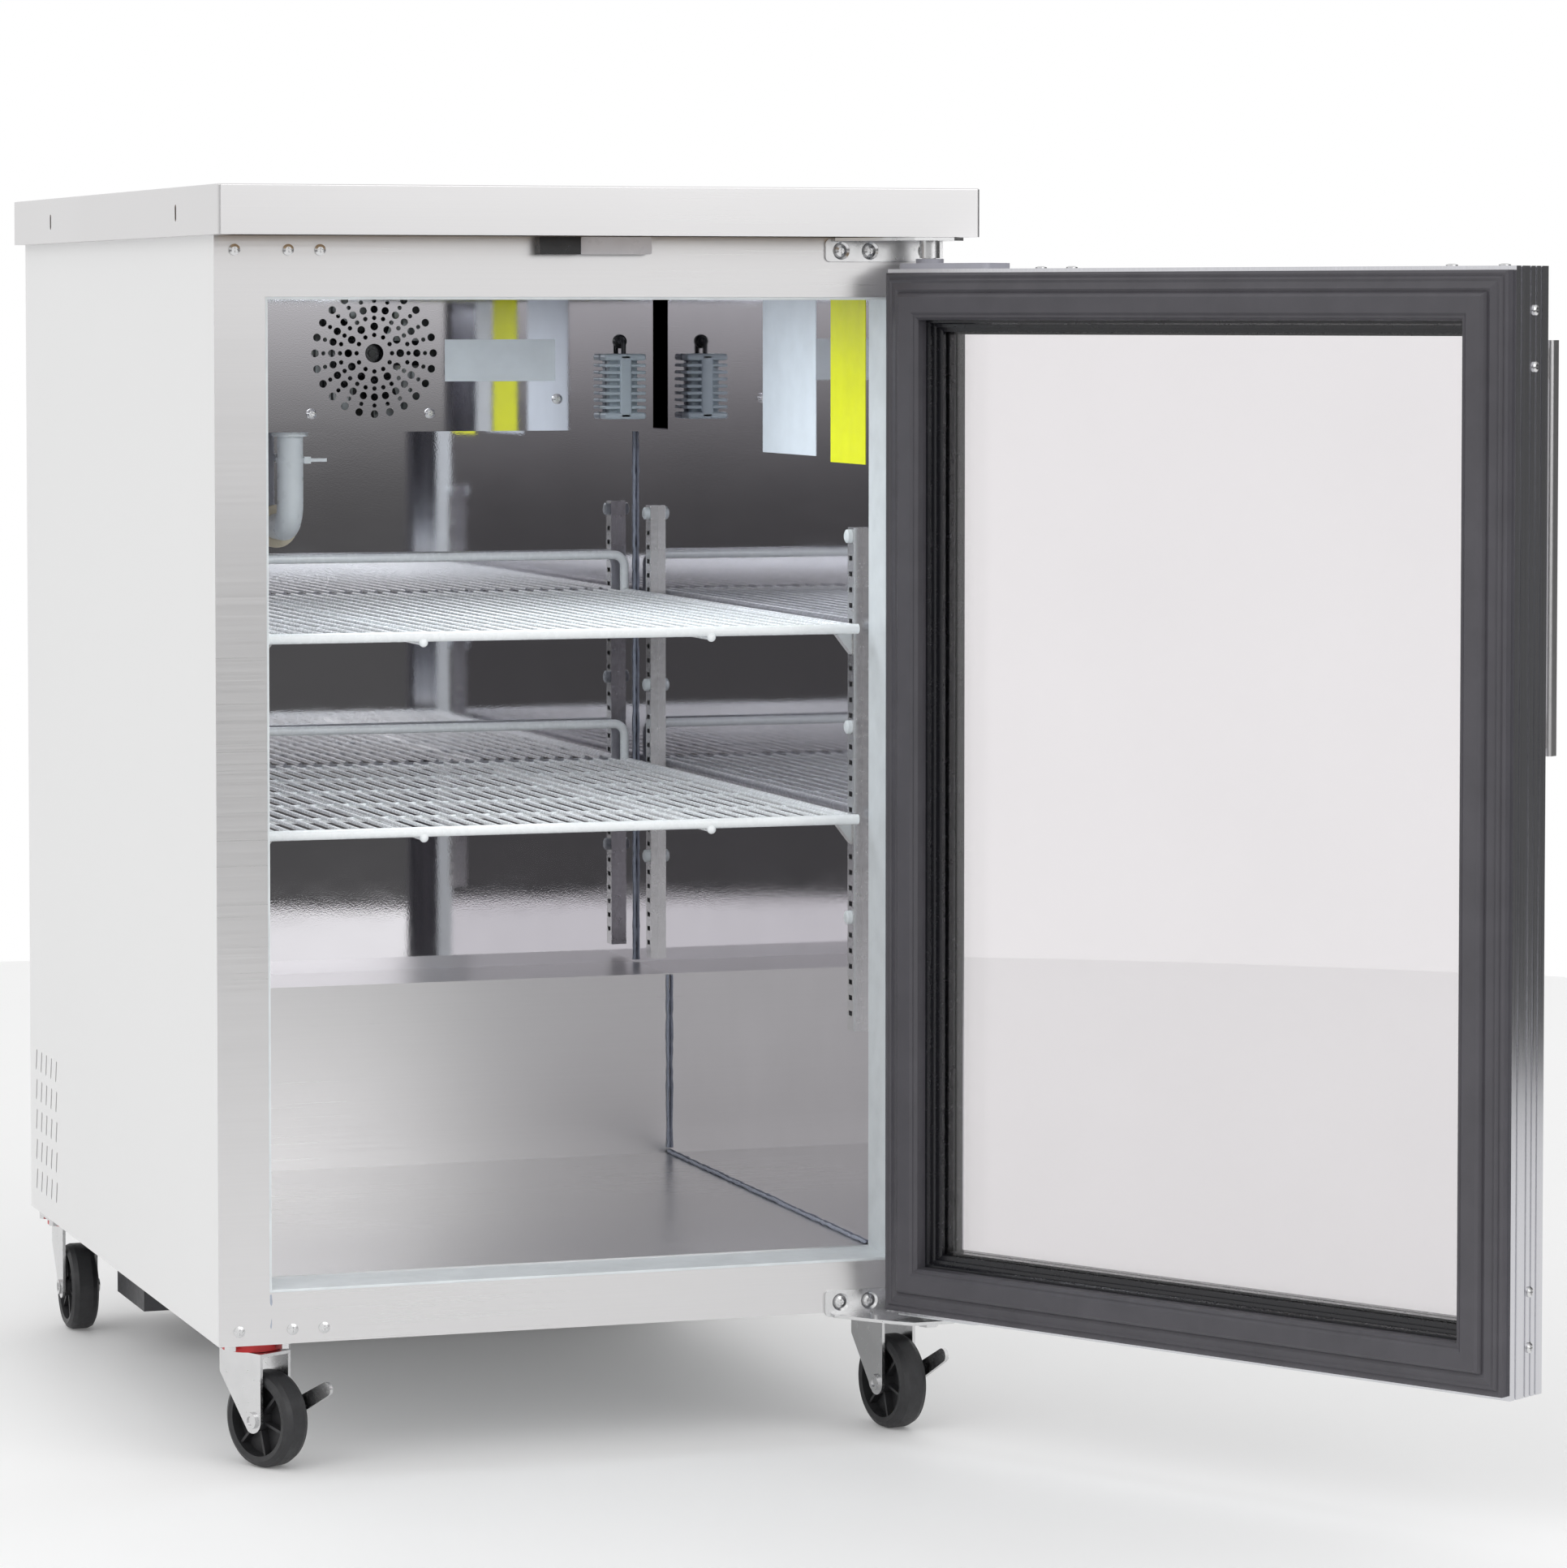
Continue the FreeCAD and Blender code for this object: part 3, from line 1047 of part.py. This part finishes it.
for place in CASTERS:
    export("caster_fork_" + place, caster_fork(place))
    export("caster_wheel_" + place, caster_wheel(place))
for place in BRAKED:
    export("brake_lever_" + place, brake_lever(place))
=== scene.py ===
"""Looks of the undercounter refrigerator: materials, fine pieces, studio light and camera."""
import json
import math
import random

import bmesh
import bpy
from mathutils import Matrix, Vector


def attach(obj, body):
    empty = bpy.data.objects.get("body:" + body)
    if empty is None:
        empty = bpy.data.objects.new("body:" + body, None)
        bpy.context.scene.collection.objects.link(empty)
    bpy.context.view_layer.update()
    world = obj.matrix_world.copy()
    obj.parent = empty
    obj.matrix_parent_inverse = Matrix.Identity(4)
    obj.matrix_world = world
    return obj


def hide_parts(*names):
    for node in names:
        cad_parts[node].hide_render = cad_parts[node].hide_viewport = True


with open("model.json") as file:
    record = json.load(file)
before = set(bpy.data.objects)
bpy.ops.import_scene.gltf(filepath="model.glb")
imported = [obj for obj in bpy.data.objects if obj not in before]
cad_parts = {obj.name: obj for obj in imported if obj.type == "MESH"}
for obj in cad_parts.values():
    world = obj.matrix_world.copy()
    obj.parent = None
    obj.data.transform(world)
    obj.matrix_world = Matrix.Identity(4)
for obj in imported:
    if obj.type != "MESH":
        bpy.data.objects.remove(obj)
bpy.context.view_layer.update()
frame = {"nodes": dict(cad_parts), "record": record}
nodes = frame["nodes"]
scene = bpy.context.scene
scene.view_settings.view_transform = "Standard"


# ---------------------------------------------------------------- camera
CAMERA_PLACE = (-1.2812, -4.7332, 0.8964)
CAMERA_YAW = math.radians(18.32)      # from +Y towards +X
CAMERA_PITCH = math.radians(2.825)    # below the horizon
SENSOR_WIDTH = 36.0                   # millimetres
PICTURE_WIDTH = 1931                  # the next two are in the same unit, one pixel of the picture
FOCAL_LENGTH = 7188.1
LENS_DROP = 230.0

camera_data = bpy.data.cameras.new("camera")
camera_data.sensor_fit = "HORIZONTAL"
camera_data.sensor_width = SENSOR_WIDTH
camera_data.lens = FOCAL_LENGTH / PICTURE_WIDTH * SENSOR_WIDTH
camera_data.shift_y = -LENS_DROP / PICTURE_WIDTH
camera = bpy.data.objects.new("camera", camera_data)
camera.location = CAMERA_PLACE
camera.rotation_euler = (math.pi / 2 - CAMERA_PITCH, 0, -CAMERA_YAW)
scene.collection.objects.link(camera)
scene.camera = camera


# ---------------------------------------------------------------- studio
# name, place and target in metres, side in metres, power in watts, colour
WHITE = (1.0, 1.0, 1.0)
AREA_LIGHTS = (
    ("key", (-3.4, -3.0, 3.4), (0, 0, 0.5), 2.6, 30, WHITE),
    ("front", (1.6, -4.4, 2.6), (0, 0, 0.6), 3.4, 42, WHITE),
    ("cabin", (0, -0.17, 0.915), (0, -0.12, 0.0), 0.24, 1.3, (0.90, 0.96, 1.0)),
)

WORLD_LIGHT = 0.93
UNLIT_LIGHT = 0.10

# where the unlit stretches fade, as components of the direction looked in
FRONT_FADE = (-0.55, -0.15)     # along Y, for the stretch in front
LOW_FADE = (-0.05, 0.04)        # along Z, for the stretch in front
RIGHT_FADE = (0.72, 0.90)       # along X, for the stretch on the right
RIGHT_TOP_FADE = (0.40, 0.65)   # along Z, for the stretch on the right


def area_light(name, place, target, side, power, colour):
    data = bpy.data.lights.new(name, "AREA")
    data.shape, data.size, data.energy, data.color = "SQUARE", side, power, colour
    light = bpy.data.objects.new(name, data)
    light.location = place
    light.rotation_euler = (Vector(target) - Vector(place)).to_track_quat("-Z", "Y").to_euler()
    scene.collection.objects.link(light)


def ramp(tree, value, fade, low, high):
    """Goes smoothly from low to high while the value goes through the fade."""
    span = tree.nodes.new("ShaderNodeMapRange")
    span.interpolation_type = "SMOOTHSTEP"
    for label, number in zip(("From Min", "From Max", "To Min", "To Max"), (*fade, low, high)):
        span.inputs[label].default_value = number
    tree.links.new(value, span.inputs["Value"])
    return span.outputs["Result"]


def math_node(tree, operation, first, second):
    made = tree.nodes.new("ShaderNodeMath")
    made.operation = operation
    for socket, value in zip(made.inputs, (first, second)):
        if isinstance(value, (int, float)):
            socket.default_value = value
        else:
            tree.links.new(value, socket)
    return made.outputs["Value"]


def studio_world():
    """White to the camera and through glass; reflections and light also meet the unlit stretches."""
    world = bpy.data.worlds.new("studio")
    world.use_nodes = True
    tree = world.node_tree
    background = tree.nodes["Background"]
    background.inputs["Color"].default_value = (1, 1, 1, 1)
    direction = tree.nodes.new("ShaderNodeSeparateXYZ")
    tree.links.new(tree.nodes.new("ShaderNodeTexCoord").outputs["Generated"], direction.inputs["Vector"])
    low_in_front = math_node(tree, "MULTIPLY", ramp(tree, direction.outputs["Y"], FRONT_FADE, 1.0, 0.0),
                             ramp(tree, direction.outputs["Z"], LOW_FADE, 1.0, 0.0))
    on_right = math_node(tree, "MULTIPLY", ramp(tree, direction.outputs["X"], RIGHT_FADE, 0.0, 1.0),
                         ramp(tree, direction.outputs["Z"], RIGHT_TOP_FADE, 1.0, 0.0))
    unlit = math_node(tree, "MAXIMUM", low_in_front, on_right)
    level = ramp(tree, unlit, (0.0, 1.0), WORLD_LIGHT, UNLIT_LIGHT)
    path = tree.nodes.new("ShaderNodeLightPath").outputs
    seen = math_node(tree, "MAXIMUM", path["Is Camera Ray"], path["Is Transmission Ray"])
    tree.links.new(math_node(tree, "MAXIMUM", level, seen), background.inputs["Strength"])
    return world


scene.world = studio_world()
for light_values in AREA_LIGHTS:
    area_light(*light_values)


# ---------------------------------------------------------------- material kit
class Surface:
    """A Principled material whose colour, roughness and bump come from procedural nodes."""

    def __init__(self, name, metallic=0.0, **constants):
        self.material = bpy.data.materials.new(name)
        self.material.use_nodes = True
        self.tree = self.material.node_tree
        self.shader = self.tree.nodes["Principled BSDF"]
        self.shader.inputs["Metallic"].default_value = metallic
        for label, value in constants.items():
            self.shader.inputs[label.replace("_", " ")].default_value = value
        self.coordinates = self.tree.nodes.new("ShaderNodeTexCoord").outputs["Object"]

    def node(self, kind, **values):
        made = self.tree.nodes.new("ShaderNode" + kind)
        for key, value in values.items():
            setattr(made, key, value)
        return made

    def link(self, source, target):
        self.tree.links.new(source, target)

    def noise(self, scale, stretch=(1, 1, 1), detail=3.0, roughness=0.55):
        """Noise in the node's own coordinates; a larger stretch packs it closer along that axis."""
        mapping = self.node("Mapping")
        mapping.inputs["Scale"].default_value = stretch
        self.link(self.coordinates, mapping.inputs["Vector"])
        texture = self.node("TexNoise")
        texture.inputs["Scale"].default_value = scale
        texture.inputs["Detail"].default_value = detail
        texture.inputs["Roughness"].default_value = roughness
        self.link(mapping.outputs["Vector"], texture.inputs["Vector"])
        return texture.outputs["Fac"]

    def spread(self, value, low, high, source=(0.3, 0.7)):
        """Brings a value from its source range, by default the bulk of a noise, to low and high."""
        span = self.node("MapRange")
        span.inputs["From Min"].default_value, span.inputs["From Max"].default_value = source
        span.inputs["To Min"].default_value, span.inputs["To Max"].default_value = low, high
        self.link(value, span.inputs["Value"])
        return span.outputs["Result"]

    def blend(self, factor, first, second):
        mix = self.node("Mix", data_type="RGBA")
        for socket, colour in ((mix.inputs["A"], first), (mix.inputs["B"], second)):
            if isinstance(colour, tuple):
                socket.default_value = (*colour, 1.0)
            else:
                self.link(colour, socket)
        self.link(factor, mix.inputs["Factor"])
        return mix.outputs["Result"]

    def colour(self, value):
        self.link(value, self.shader.inputs["Base Color"])

    def roughness(self, value):
        self.link(value, self.shader.inputs["Roughness"])

    def bump(self, height, distance):
        """Raises the surface by up to a distance in metres, on top of any bump it has already."""
        bump = self.node("Bump")
        bump.inputs["Distance"].default_value = distance
        self.link(height, bump.inputs["Height"])
        previous = self.shader.inputs["Normal"].links
        if previous:
            self.link(previous[0].from_socket, bump.inputs["Normal"])
        self.link(bump.outputs["Normal"], self.shader.inputs["Normal"])


def shade(colour, factor):
    return tuple(min(1.0, c * factor) for c in colour)


GLOSS_FINENESS = 3.7        # how much closer the changes of gloss lie than those of colour


def plain_surface(name, colour, rough, spots=40.0, vary=0.06, bump_scale=600.0, bump_depth=0.00005,
                  metallic=0.0, **constants):
    """Moulded, painted or cast surface: mottled colour, uneven gloss and a fine skin."""
    s = Surface(name, metallic, **constants)
    mottling = s.noise(spots)
    s.colour(s.blend(s.spread(mottling, 0, 1), shade(colour, 1 - vary), shade(colour, 1 + vary)))
    s.roughness(s.spread(s.noise(spots * GLOSS_FINENESS), *rough))
    s.bump(s.noise(bump_scale, detail=2.0), bump_depth)
    return s.material


def brushed_surface(name, colour, rough, grain, vary=0.05, depth=0.00002, metallic=1.0):
    """Brushed or rolled metal: grain gives how fast the texture changes along X, Y and Z."""
    s = Surface(name, metallic)
    lines = s.noise(scale=1.0, stretch=grain, detail=4.0, roughness=0.65)
    handling = s.spread(s.noise(scale=2.3, detail=2.0), low=-0.03, high=0.03)
    s.colour(s.blend(s.spread(lines, 0, 1), shade(colour, 1 - vary), shade(colour, 1 + vary)))
    s.roughness(math_node(s.tree, "ADD", s.spread(lines, *rough), handling))
    s.bump(lines, depth)
    return s.material


def polished_surface(name, colour, rough, wave_depth):
    """Mirror-polished sheet with the slow waves of thin metal and faint wiping marks."""
    s = Surface(name, metallic=1.0)
    s.colour(s.blend(s.spread(s.noise(scale=5.0), 0, 1), shade(colour, 0.95), shade(colour, 1.03)))
    s.roughness(s.spread(s.noise(scale=14.0, stretch=(1, 1, 3)), *rough))
    s.bump(s.noise(scale=3.2, stretch=(1.0, 1.0, 0.7), detail=1.5), wave_depth)
    s.bump(s.noise(scale=900.0, detail=1.0), distance=0.000004)
    return s.material


def glass_surface(name, tint):
    """Clear glass with a faint tint and traces of wiping."""
    s = Surface(name, Transmission_Weight=1.0, IOR=1.45)
    s.colour(s.blend(s.spread(s.noise(scale=4.0), 0, 1), tint, shade(tint, 1.01)))
    s.roughness(s.spread(s.noise(scale=9.0), low=0.0, high=0.012))
    return s.material


def spangled_surface(name, colour):
    """Galvanised sheet with its crystal pattern."""
    s = Surface(name, metallic=1.0)
    cells = s.node("TexVoronoi")
    cells.inputs["Scale"].default_value = 55.0
    s.link(s.coordinates, cells.inputs["Vector"])
    s.colour(s.blend(cells.outputs["Color"], shade(colour, 0.86), shade(colour, 1.08)))
    s.roughness(s.spread(cells.outputs["Distance"], low=0.34, high=0.48, source=(0.0, 0.8)))
    s.bump(s.noise(scale=700.0), distance=0.00002)
    return s.material


def zoned_surface(name, rough, otherwise, zones):
    """For a node whose solids differ in colour: zones lists (axis, low, high, colour), in metres."""
    s = Surface(name)
    place = s.node("SeparateXYZ")
    s.link(s.coordinates, place.inputs["Vector"])
    mottling = s.spread(s.noise(scale=35.0), 0, 1)
    result = s.blend(mottling, shade(otherwise, 0.96), shade(otherwise, 1.04))
    for axis, low, high, colour in zones:
        after = math_node(s.tree, "GREATER_THAN", place.outputs[axis], low)
        before = math_node(s.tree, "LESS_THAN", place.outputs[axis], high)
        here = math_node(s.tree, "MULTIPLY", after, before)
        result = s.blend(here, result, s.blend(mottling, shade(colour, 0.96), shade(colour, 1.04)))
    s.colour(result)
    s.roughness(s.spread(s.noise(scale=120.0), *rough))
    s.bump(s.noise(scale=500.0, detail=2.0), distance=0.00001)
    return s.material


BLACK = (0.012, 0.012, 0.014)


MATERIALS = {
    "polished_steel": polished_surface("polished_steel", (0.68, 0.665, 0.695), (0.015, 0.045),
                                       wave_depth=0.00012),
    "brushed_steel": brushed_surface("brushed_steel", (0.70, 0.692, 0.695), (0.27, 0.33),
                                     grain=(4, 900, 900), vary=0.012, depth=0.000002),
    "white_panel": plain_surface("white_panel", (0.77, 0.77, 0.77), (0.30, 0.32), spots=1.2, vary=0.004,
                                 bump_scale=900.0, bump_depth=0.000001),
    "galvanised": spangled_surface("galvanised", (0.62, 0.63, 0.64)),
    "zinc": plain_surface("zinc", (0.68, 0.68, 0.685), (0.22, 0.28), spots=60.0, vary=0.03,
                          bump_depth=0.000002, metallic=1.0),
    "aluminium": brushed_surface("aluminium", (0.66, 0.66, 0.69), (0.12, 0.19), grain=(500, 500, 3),
                                 depth=0.000006),
    "dark_tray": plain_surface("dark_tray", (0.055, 0.055, 0.06), (0.32, 0.45)),
    "gasket": plain_surface("gasket", (0.066, 0.063, 0.073), (0.42, 0.55), spots=25.0, vary=0.10),
    "black_plastic": plain_surface("black_plastic", (0.010, 0.010, 0.013), (0.18, 0.30)),
    "wheel_black": plain_surface("wheel_black", (0.022, 0.022, 0.024), (0.40, 0.55), spots=120.0, vary=0.2),
    "white_coating": plain_surface("white_coating", (0.90, 0.93, 0.945), (0.20, 0.32), spots=60.0, vary=0.02,
                                   bump_depth=0.00001, Coat_Weight=0.3),
    "white_plastic": plain_surface("white_plastic", (0.74, 0.78, 0.80), (0.28, 0.40)),
    "grey_plastic": plain_surface("grey_plastic", (0.42, 0.46, 0.52), (0.35, 0.48)),
    "glass": glass_surface("glass", (0.925, 0.915, 0.921)),
    "red_seal": plain_surface("red_seal", (0.55, 0.012, 0.014), (0.30, 0.42)),
    "sealant": plain_surface("sealant", (0.36, 0.39, 0.47), (0.35, 0.5), spots=200.0, vary=0.12),
    "foam": plain_surface("foam", (0.75, 0.64, 0.36), (0.8, 0.95), spots=150.0, vary=0.15),
    "plywood": brushed_surface("plywood", (0.45, 0.30, 0.16), (0.6, 0.8), grain=(6, 160, 400), vary=0.25,
                               metallic=0.0),
    "label": plain_surface("label", (0.62, 0.68, 0.74), (0.35, 0.45), spots=9.0, vary=0.03),
    "copper": plain_surface("copper", (0.70, 0.33, 0.18), (0.22, 0.40), metallic=1.0),
    "black_paint": plain_surface("black_paint", (0.014, 0.014, 0.014), (0.28, 0.40)),
    "fins": brushed_surface("fins", (0.55, 0.57, 0.58), (0.30, 0.45), grain=(900, 4, 4)),
}

# nodes whose finish differs from their slot's, or changes from one of their solids to the next
FAR = 1.0       # beyond the part on any side
SPECIAL_FINISHES = {
    # black block, pale block on the hinge side
    "door_switch": zoned_surface("door_switch", (0.25, 0.38), otherwise=BLACK,
                                 zones=[("X", -0.00775, FAR, (0.62, 0.62, 0.66))]),
    # grey plate on the door's top edge, pale plate on its bottom edge
    "hinge_plates": zoned_surface("hinge_plates", (0.3, 0.42), otherwise=(0.40, 0.40, 0.45),
                                  zones=[("Z", -FAR, 0.2, (0.80, 0.82, 0.84))]),
    "condenser_coil": MATERIALS["black_paint"],
    # white plate and yellow plate on the right wall, pale plate on the evaporator's cover
    "blank_labels": zoned_surface("blank_labels", (0.35, 0.45), otherwise=(0.82, 0.88, 0.94),
                                  zones=[("Y", -0.32, -0.20, (0.90, 0.94, 0.010)),
                                         ("Y", 0.2, 0.3, (0.86, 0.92, 0.96))]),
    # white pipe, brown ring on the back wall
    "drain_elbow": zoned_surface("drain_elbow", (0.25, 0.38), otherwise=(0.80, 0.84, 0.86),
                                 zones=[("Y", 0.3235, FAR, (0.62, 0.55, 0.42))]),
}

for entry in frame["record"]["subparts"]:
    finish = SPECIAL_FINISHES.get(entry["node"], MATERIALS[entry["material_slot"]])
    for holder in nodes[entry["node"]].material_slots:
        holder.material = finish


# ---------------------------------------------------------------- fine pieces
def new_piece(name, mesh_or_curve, body, material, replaced):
    piece = bpy.data.objects.new(name, mesh_or_curve)
    scene.collection.objects.link(piece)
    mesh_or_curve.materials.append(material)
    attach(piece, body)
    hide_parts(replaced)


def block(mesh, low, high, rounding):
    """Adds a box with rounded edges between two corners."""
    low, high = Vector(low), Vector(high)
    made = bmesh.ops.create_cube(mesh, size=1.0)["verts"]
    for corner in made:
        corner.co = Vector([a + (b - a) * (c + 0.5) for a, b, c in zip(low, high, corner.co)])
    edges = list({e for v in made for e in v.link_edges})
    bmesh.ops.bevel(mesh, geom=edges, offset=rounding, segments=3, profile=0.5, affect="EDGES")


def round_plug(mesh, centre_x, centre_z, radius, front, rear):
    """Adds a tapered disc along Y between two planes, with its two rims rounded."""
    turn = Matrix.Rotation(math.pi / 2, 4, "X")
    place = Matrix.Translation((centre_x, (front + rear) / 2, centre_z))
    made = bmesh.ops.create_cone(mesh, segments=40, cap_ends=True, radius1=radius, radius2=radius * 0.85,
                                 depth=rear - front, matrix=place @ turn)["verts"]
    edges = {e for v in made for e in v.link_edges}
    rims = [e for e in edges if len(e.link_faces) == 2 and e.calc_face_angle(0) > 1.0]
    bmesh.ops.bevel(mesh, geom=rims, offset=0.0008, segments=2, affect="EDGES")


def finished_mesh(name, mesh):
    data = bpy.data.meshes.new(name)
    mesh.to_mesh(data)
    mesh.free()
    data.shade_smooth()
    return data


def tube_curve(name, runs, radius, wobble=0.0, seed=1):
    """A curve with a round section; wobble varies the radius and the line of each run."""
    draw = random.Random(seed)
    data = bpy.data.curves.new(name, "CURVE")
    data.dimensions = "3D"
    data.bevel_depth = radius
    data.bevel_resolution = 4
    data.use_fill_caps = True
    for run in runs:
        spline = data.splines.new("POLY")
        spline.points.add(len(run) - 1)
        for point, place in zip(spline.points, run):
            drift = [wobble * 0.25 * radius * draw.uniform(-1, 1) for _ in range(3)]
            point.co = (*[a + b for a, b in zip(place, drift)], 1.0)
            point.radius = 1.0 - wobble * 0.35 * draw.random()
    return data


def straight(start, end, step=0.006):
    """Points about one step apart, from start to end."""
    start, end = Vector(start), Vector(end)
    count = max(2, int((end - start).length / step))
    return [start.lerp(end, k / count) for k in range(count + 1)]


# comb-shaped housing of the temperature sensor, on the evaporator's cover
COVER_Y = 0.25
SENSOR_X = 0.215
SENSOR_HALF = 0.019
SENSOR_LOW, SENSOR_HIGH = 0.799, 0.857
SENSOR_FRONT = COVER_Y - 0.020
SPINE_HALF = 0.0055
END_PLATE = 0.006
BODY_HALF = 0.013
TEETH = 7
TOOTH = 0.003
TOOTH_START, TOOTH_PITCH = 0.009, 0.0062


def sensor_block(mesh, half, low, high, rounding, front=SENSOR_FRONT, rear=COVER_Y):
    block(mesh, (SENSOR_X - half, front, low), (SENSOR_X + half, rear, high), rounding)


comb = bmesh.new()
sensor_block(comb, SPINE_HALF, SENSOR_LOW, SENSOR_HIGH, 0.0018)
sensor_block(comb, SENSOR_HALF, SENSOR_LOW, SENSOR_LOW + END_PLATE, 0.0022)
sensor_block(comb, SENSOR_HALF, SENSOR_HIGH - END_PLATE, SENSOR_HIGH, 0.0022)
for k in range(TEETH):
    z = SENSOR_LOW + TOOTH_START + k * TOOTH_PITCH
    sensor_block(comb, SENSOR_HALF, z, z + TOOTH, 0.0010, front=SENSOR_FRONT + 0.001)
sensor_block(comb, BODY_HALF, SENSOR_LOW + 0.004, SENSOR_HIGH - 0.004, 0.0015,
             front=SENSOR_FRONT + 0.008, rear=COVER_Y - 0.001)
sensor_finish = plain_surface("sensor_grey", (0.50, 0.57, 0.62), (0.30, 0.42), spots=60.0, vary=0.04)
new_piece("sensor_comb", finished_mesh("sensor_comb", comb), "cabinet", sensor_finish,
          "temperature_sensor")

# its lead, up and back into the cover, and the grommet there
LEAD_RADIUS = 0.0022
LEAD_Y = COVER_Y - 0.012
BEND_LOW, BEND_MIDDLE, BEND_HIGH = 0.866, 0.8685, 0.870
lead_run = straight((SENSOR_X, LEAD_Y, SENSOR_HIGH - 0.003), (SENSOR_X, LEAD_Y, BEND_LOW), step=0.003)
lead_run += [Vector((SENSOR_X, LEAD_Y + 0.0012, BEND_MIDDLE)), Vector((SENSOR_X, LEAD_Y + 0.004, BEND_HIGH)),
             Vector((SENSOR_X, COVER_Y - 0.001, BEND_HIGH))]
lead_finish = plain_surface("lead_black", BLACK, (0.3, 0.45))
new_piece("sensor_lead", tube_curve("sensor_lead", [lead_run], LEAD_RADIUS), "cabinet",
          lead_finish, "temperature_sensor")

GROMMET_Z = 0.868
FLANGE_RADIUS, NECK_RADIUS = 0.0065, 0.0045
grommet = bmesh.new()
round_plug(grommet, SENSOR_X, GROMMET_Z, FLANGE_RADIUS, COVER_Y - 0.004, COVER_Y)
round_plug(grommet, SENSOR_X, GROMMET_Z, NECK_RADIUS, COVER_Y - 0.008, COVER_Y - 0.003)
new_piece("sensor_grommet", finished_mesh("sensor_grommet", grommet), "cabinet",
          lead_finish, "temperature_sensor")

# hand-laid sealant along the liner's corners and in the two bottom joints of the front frame
BEAD_RADIUS = 0.0017
CORNER_X = 0.2515
THROAT_Y, STEP_Y, REAR_Y = -0.314, 0.2238, 0.3258
FLOOR_Z, STEP_Z, COVER_Z = 0.1435, 0.304, 0.786
JOINT_X, JOINT_Y, JOINT_TOP = 0.2537, -0.3735, 0.139
LEFT_JOINT_LOW, RIGHT_JOINT_LOW = 0.101, 0.119      # the hinge bracket covers the right one lower down
bead_runs = []
for side in (-1, 1):
    x = side * CORNER_X
    bead_runs.append(straight((x, THROAT_Y, FLOOR_Z + 0.001), (x, STEP_Y, FLOOR_Z + 0.001)))
    bead_runs.append(straight((x, STEP_Y, FLOOR_Z + 0.004), (x, STEP_Y, STEP_Z - 0.001)))
    bead_runs.append(straight((x, REAR_Y, STEP_Z + 0.002), (x, REAR_Y, COVER_Z)))
for x, joint_low in ((-JOINT_X, LEFT_JOINT_LOW), (JOINT_X, RIGHT_JOINT_LOW)):
    bead_runs.append(straight((x, JOINT_Y, joint_low), (x, JOINT_Y, JOINT_TOP)))
beads = tube_curve("sealant_lines", bead_runs, BEAD_RADIUS, wobble=0.9, seed=7)
new_piece("sealant_lines", beads, "cabinet", MATERIALS["sealant"], "sealant_beads")


# ---------------------------------------------------------------- floor
FLOOR_RADIUS = 3.2
FLOOR_SIDES = 96
floor_mesh = bpy.data.meshes.new("studio_floor")
angles = [math.tau * k / FLOOR_SIDES for k in range(FLOOR_SIDES)]
rim = [(FLOOR_RADIUS * math.cos(angle), FLOOR_RADIUS * math.sin(angle), 0) for angle in angles]
floor_mesh.from_pydata(rim, [], [tuple(range(FLOOR_SIDES))])
floor_mesh.materials.append(plain_surface("floor", (0.84, 0.84, 0.84), (0.6, 0.7), spots=2.0, vary=0.005,
                                          bump_depth=0.0, Emission_Color=(1, 1, 1, 1),
                                          Emission_Strength=0.10))
floor = bpy.data.objects.new("studio_floor", floor_mesh)
scene.collection.objects.link(floor)
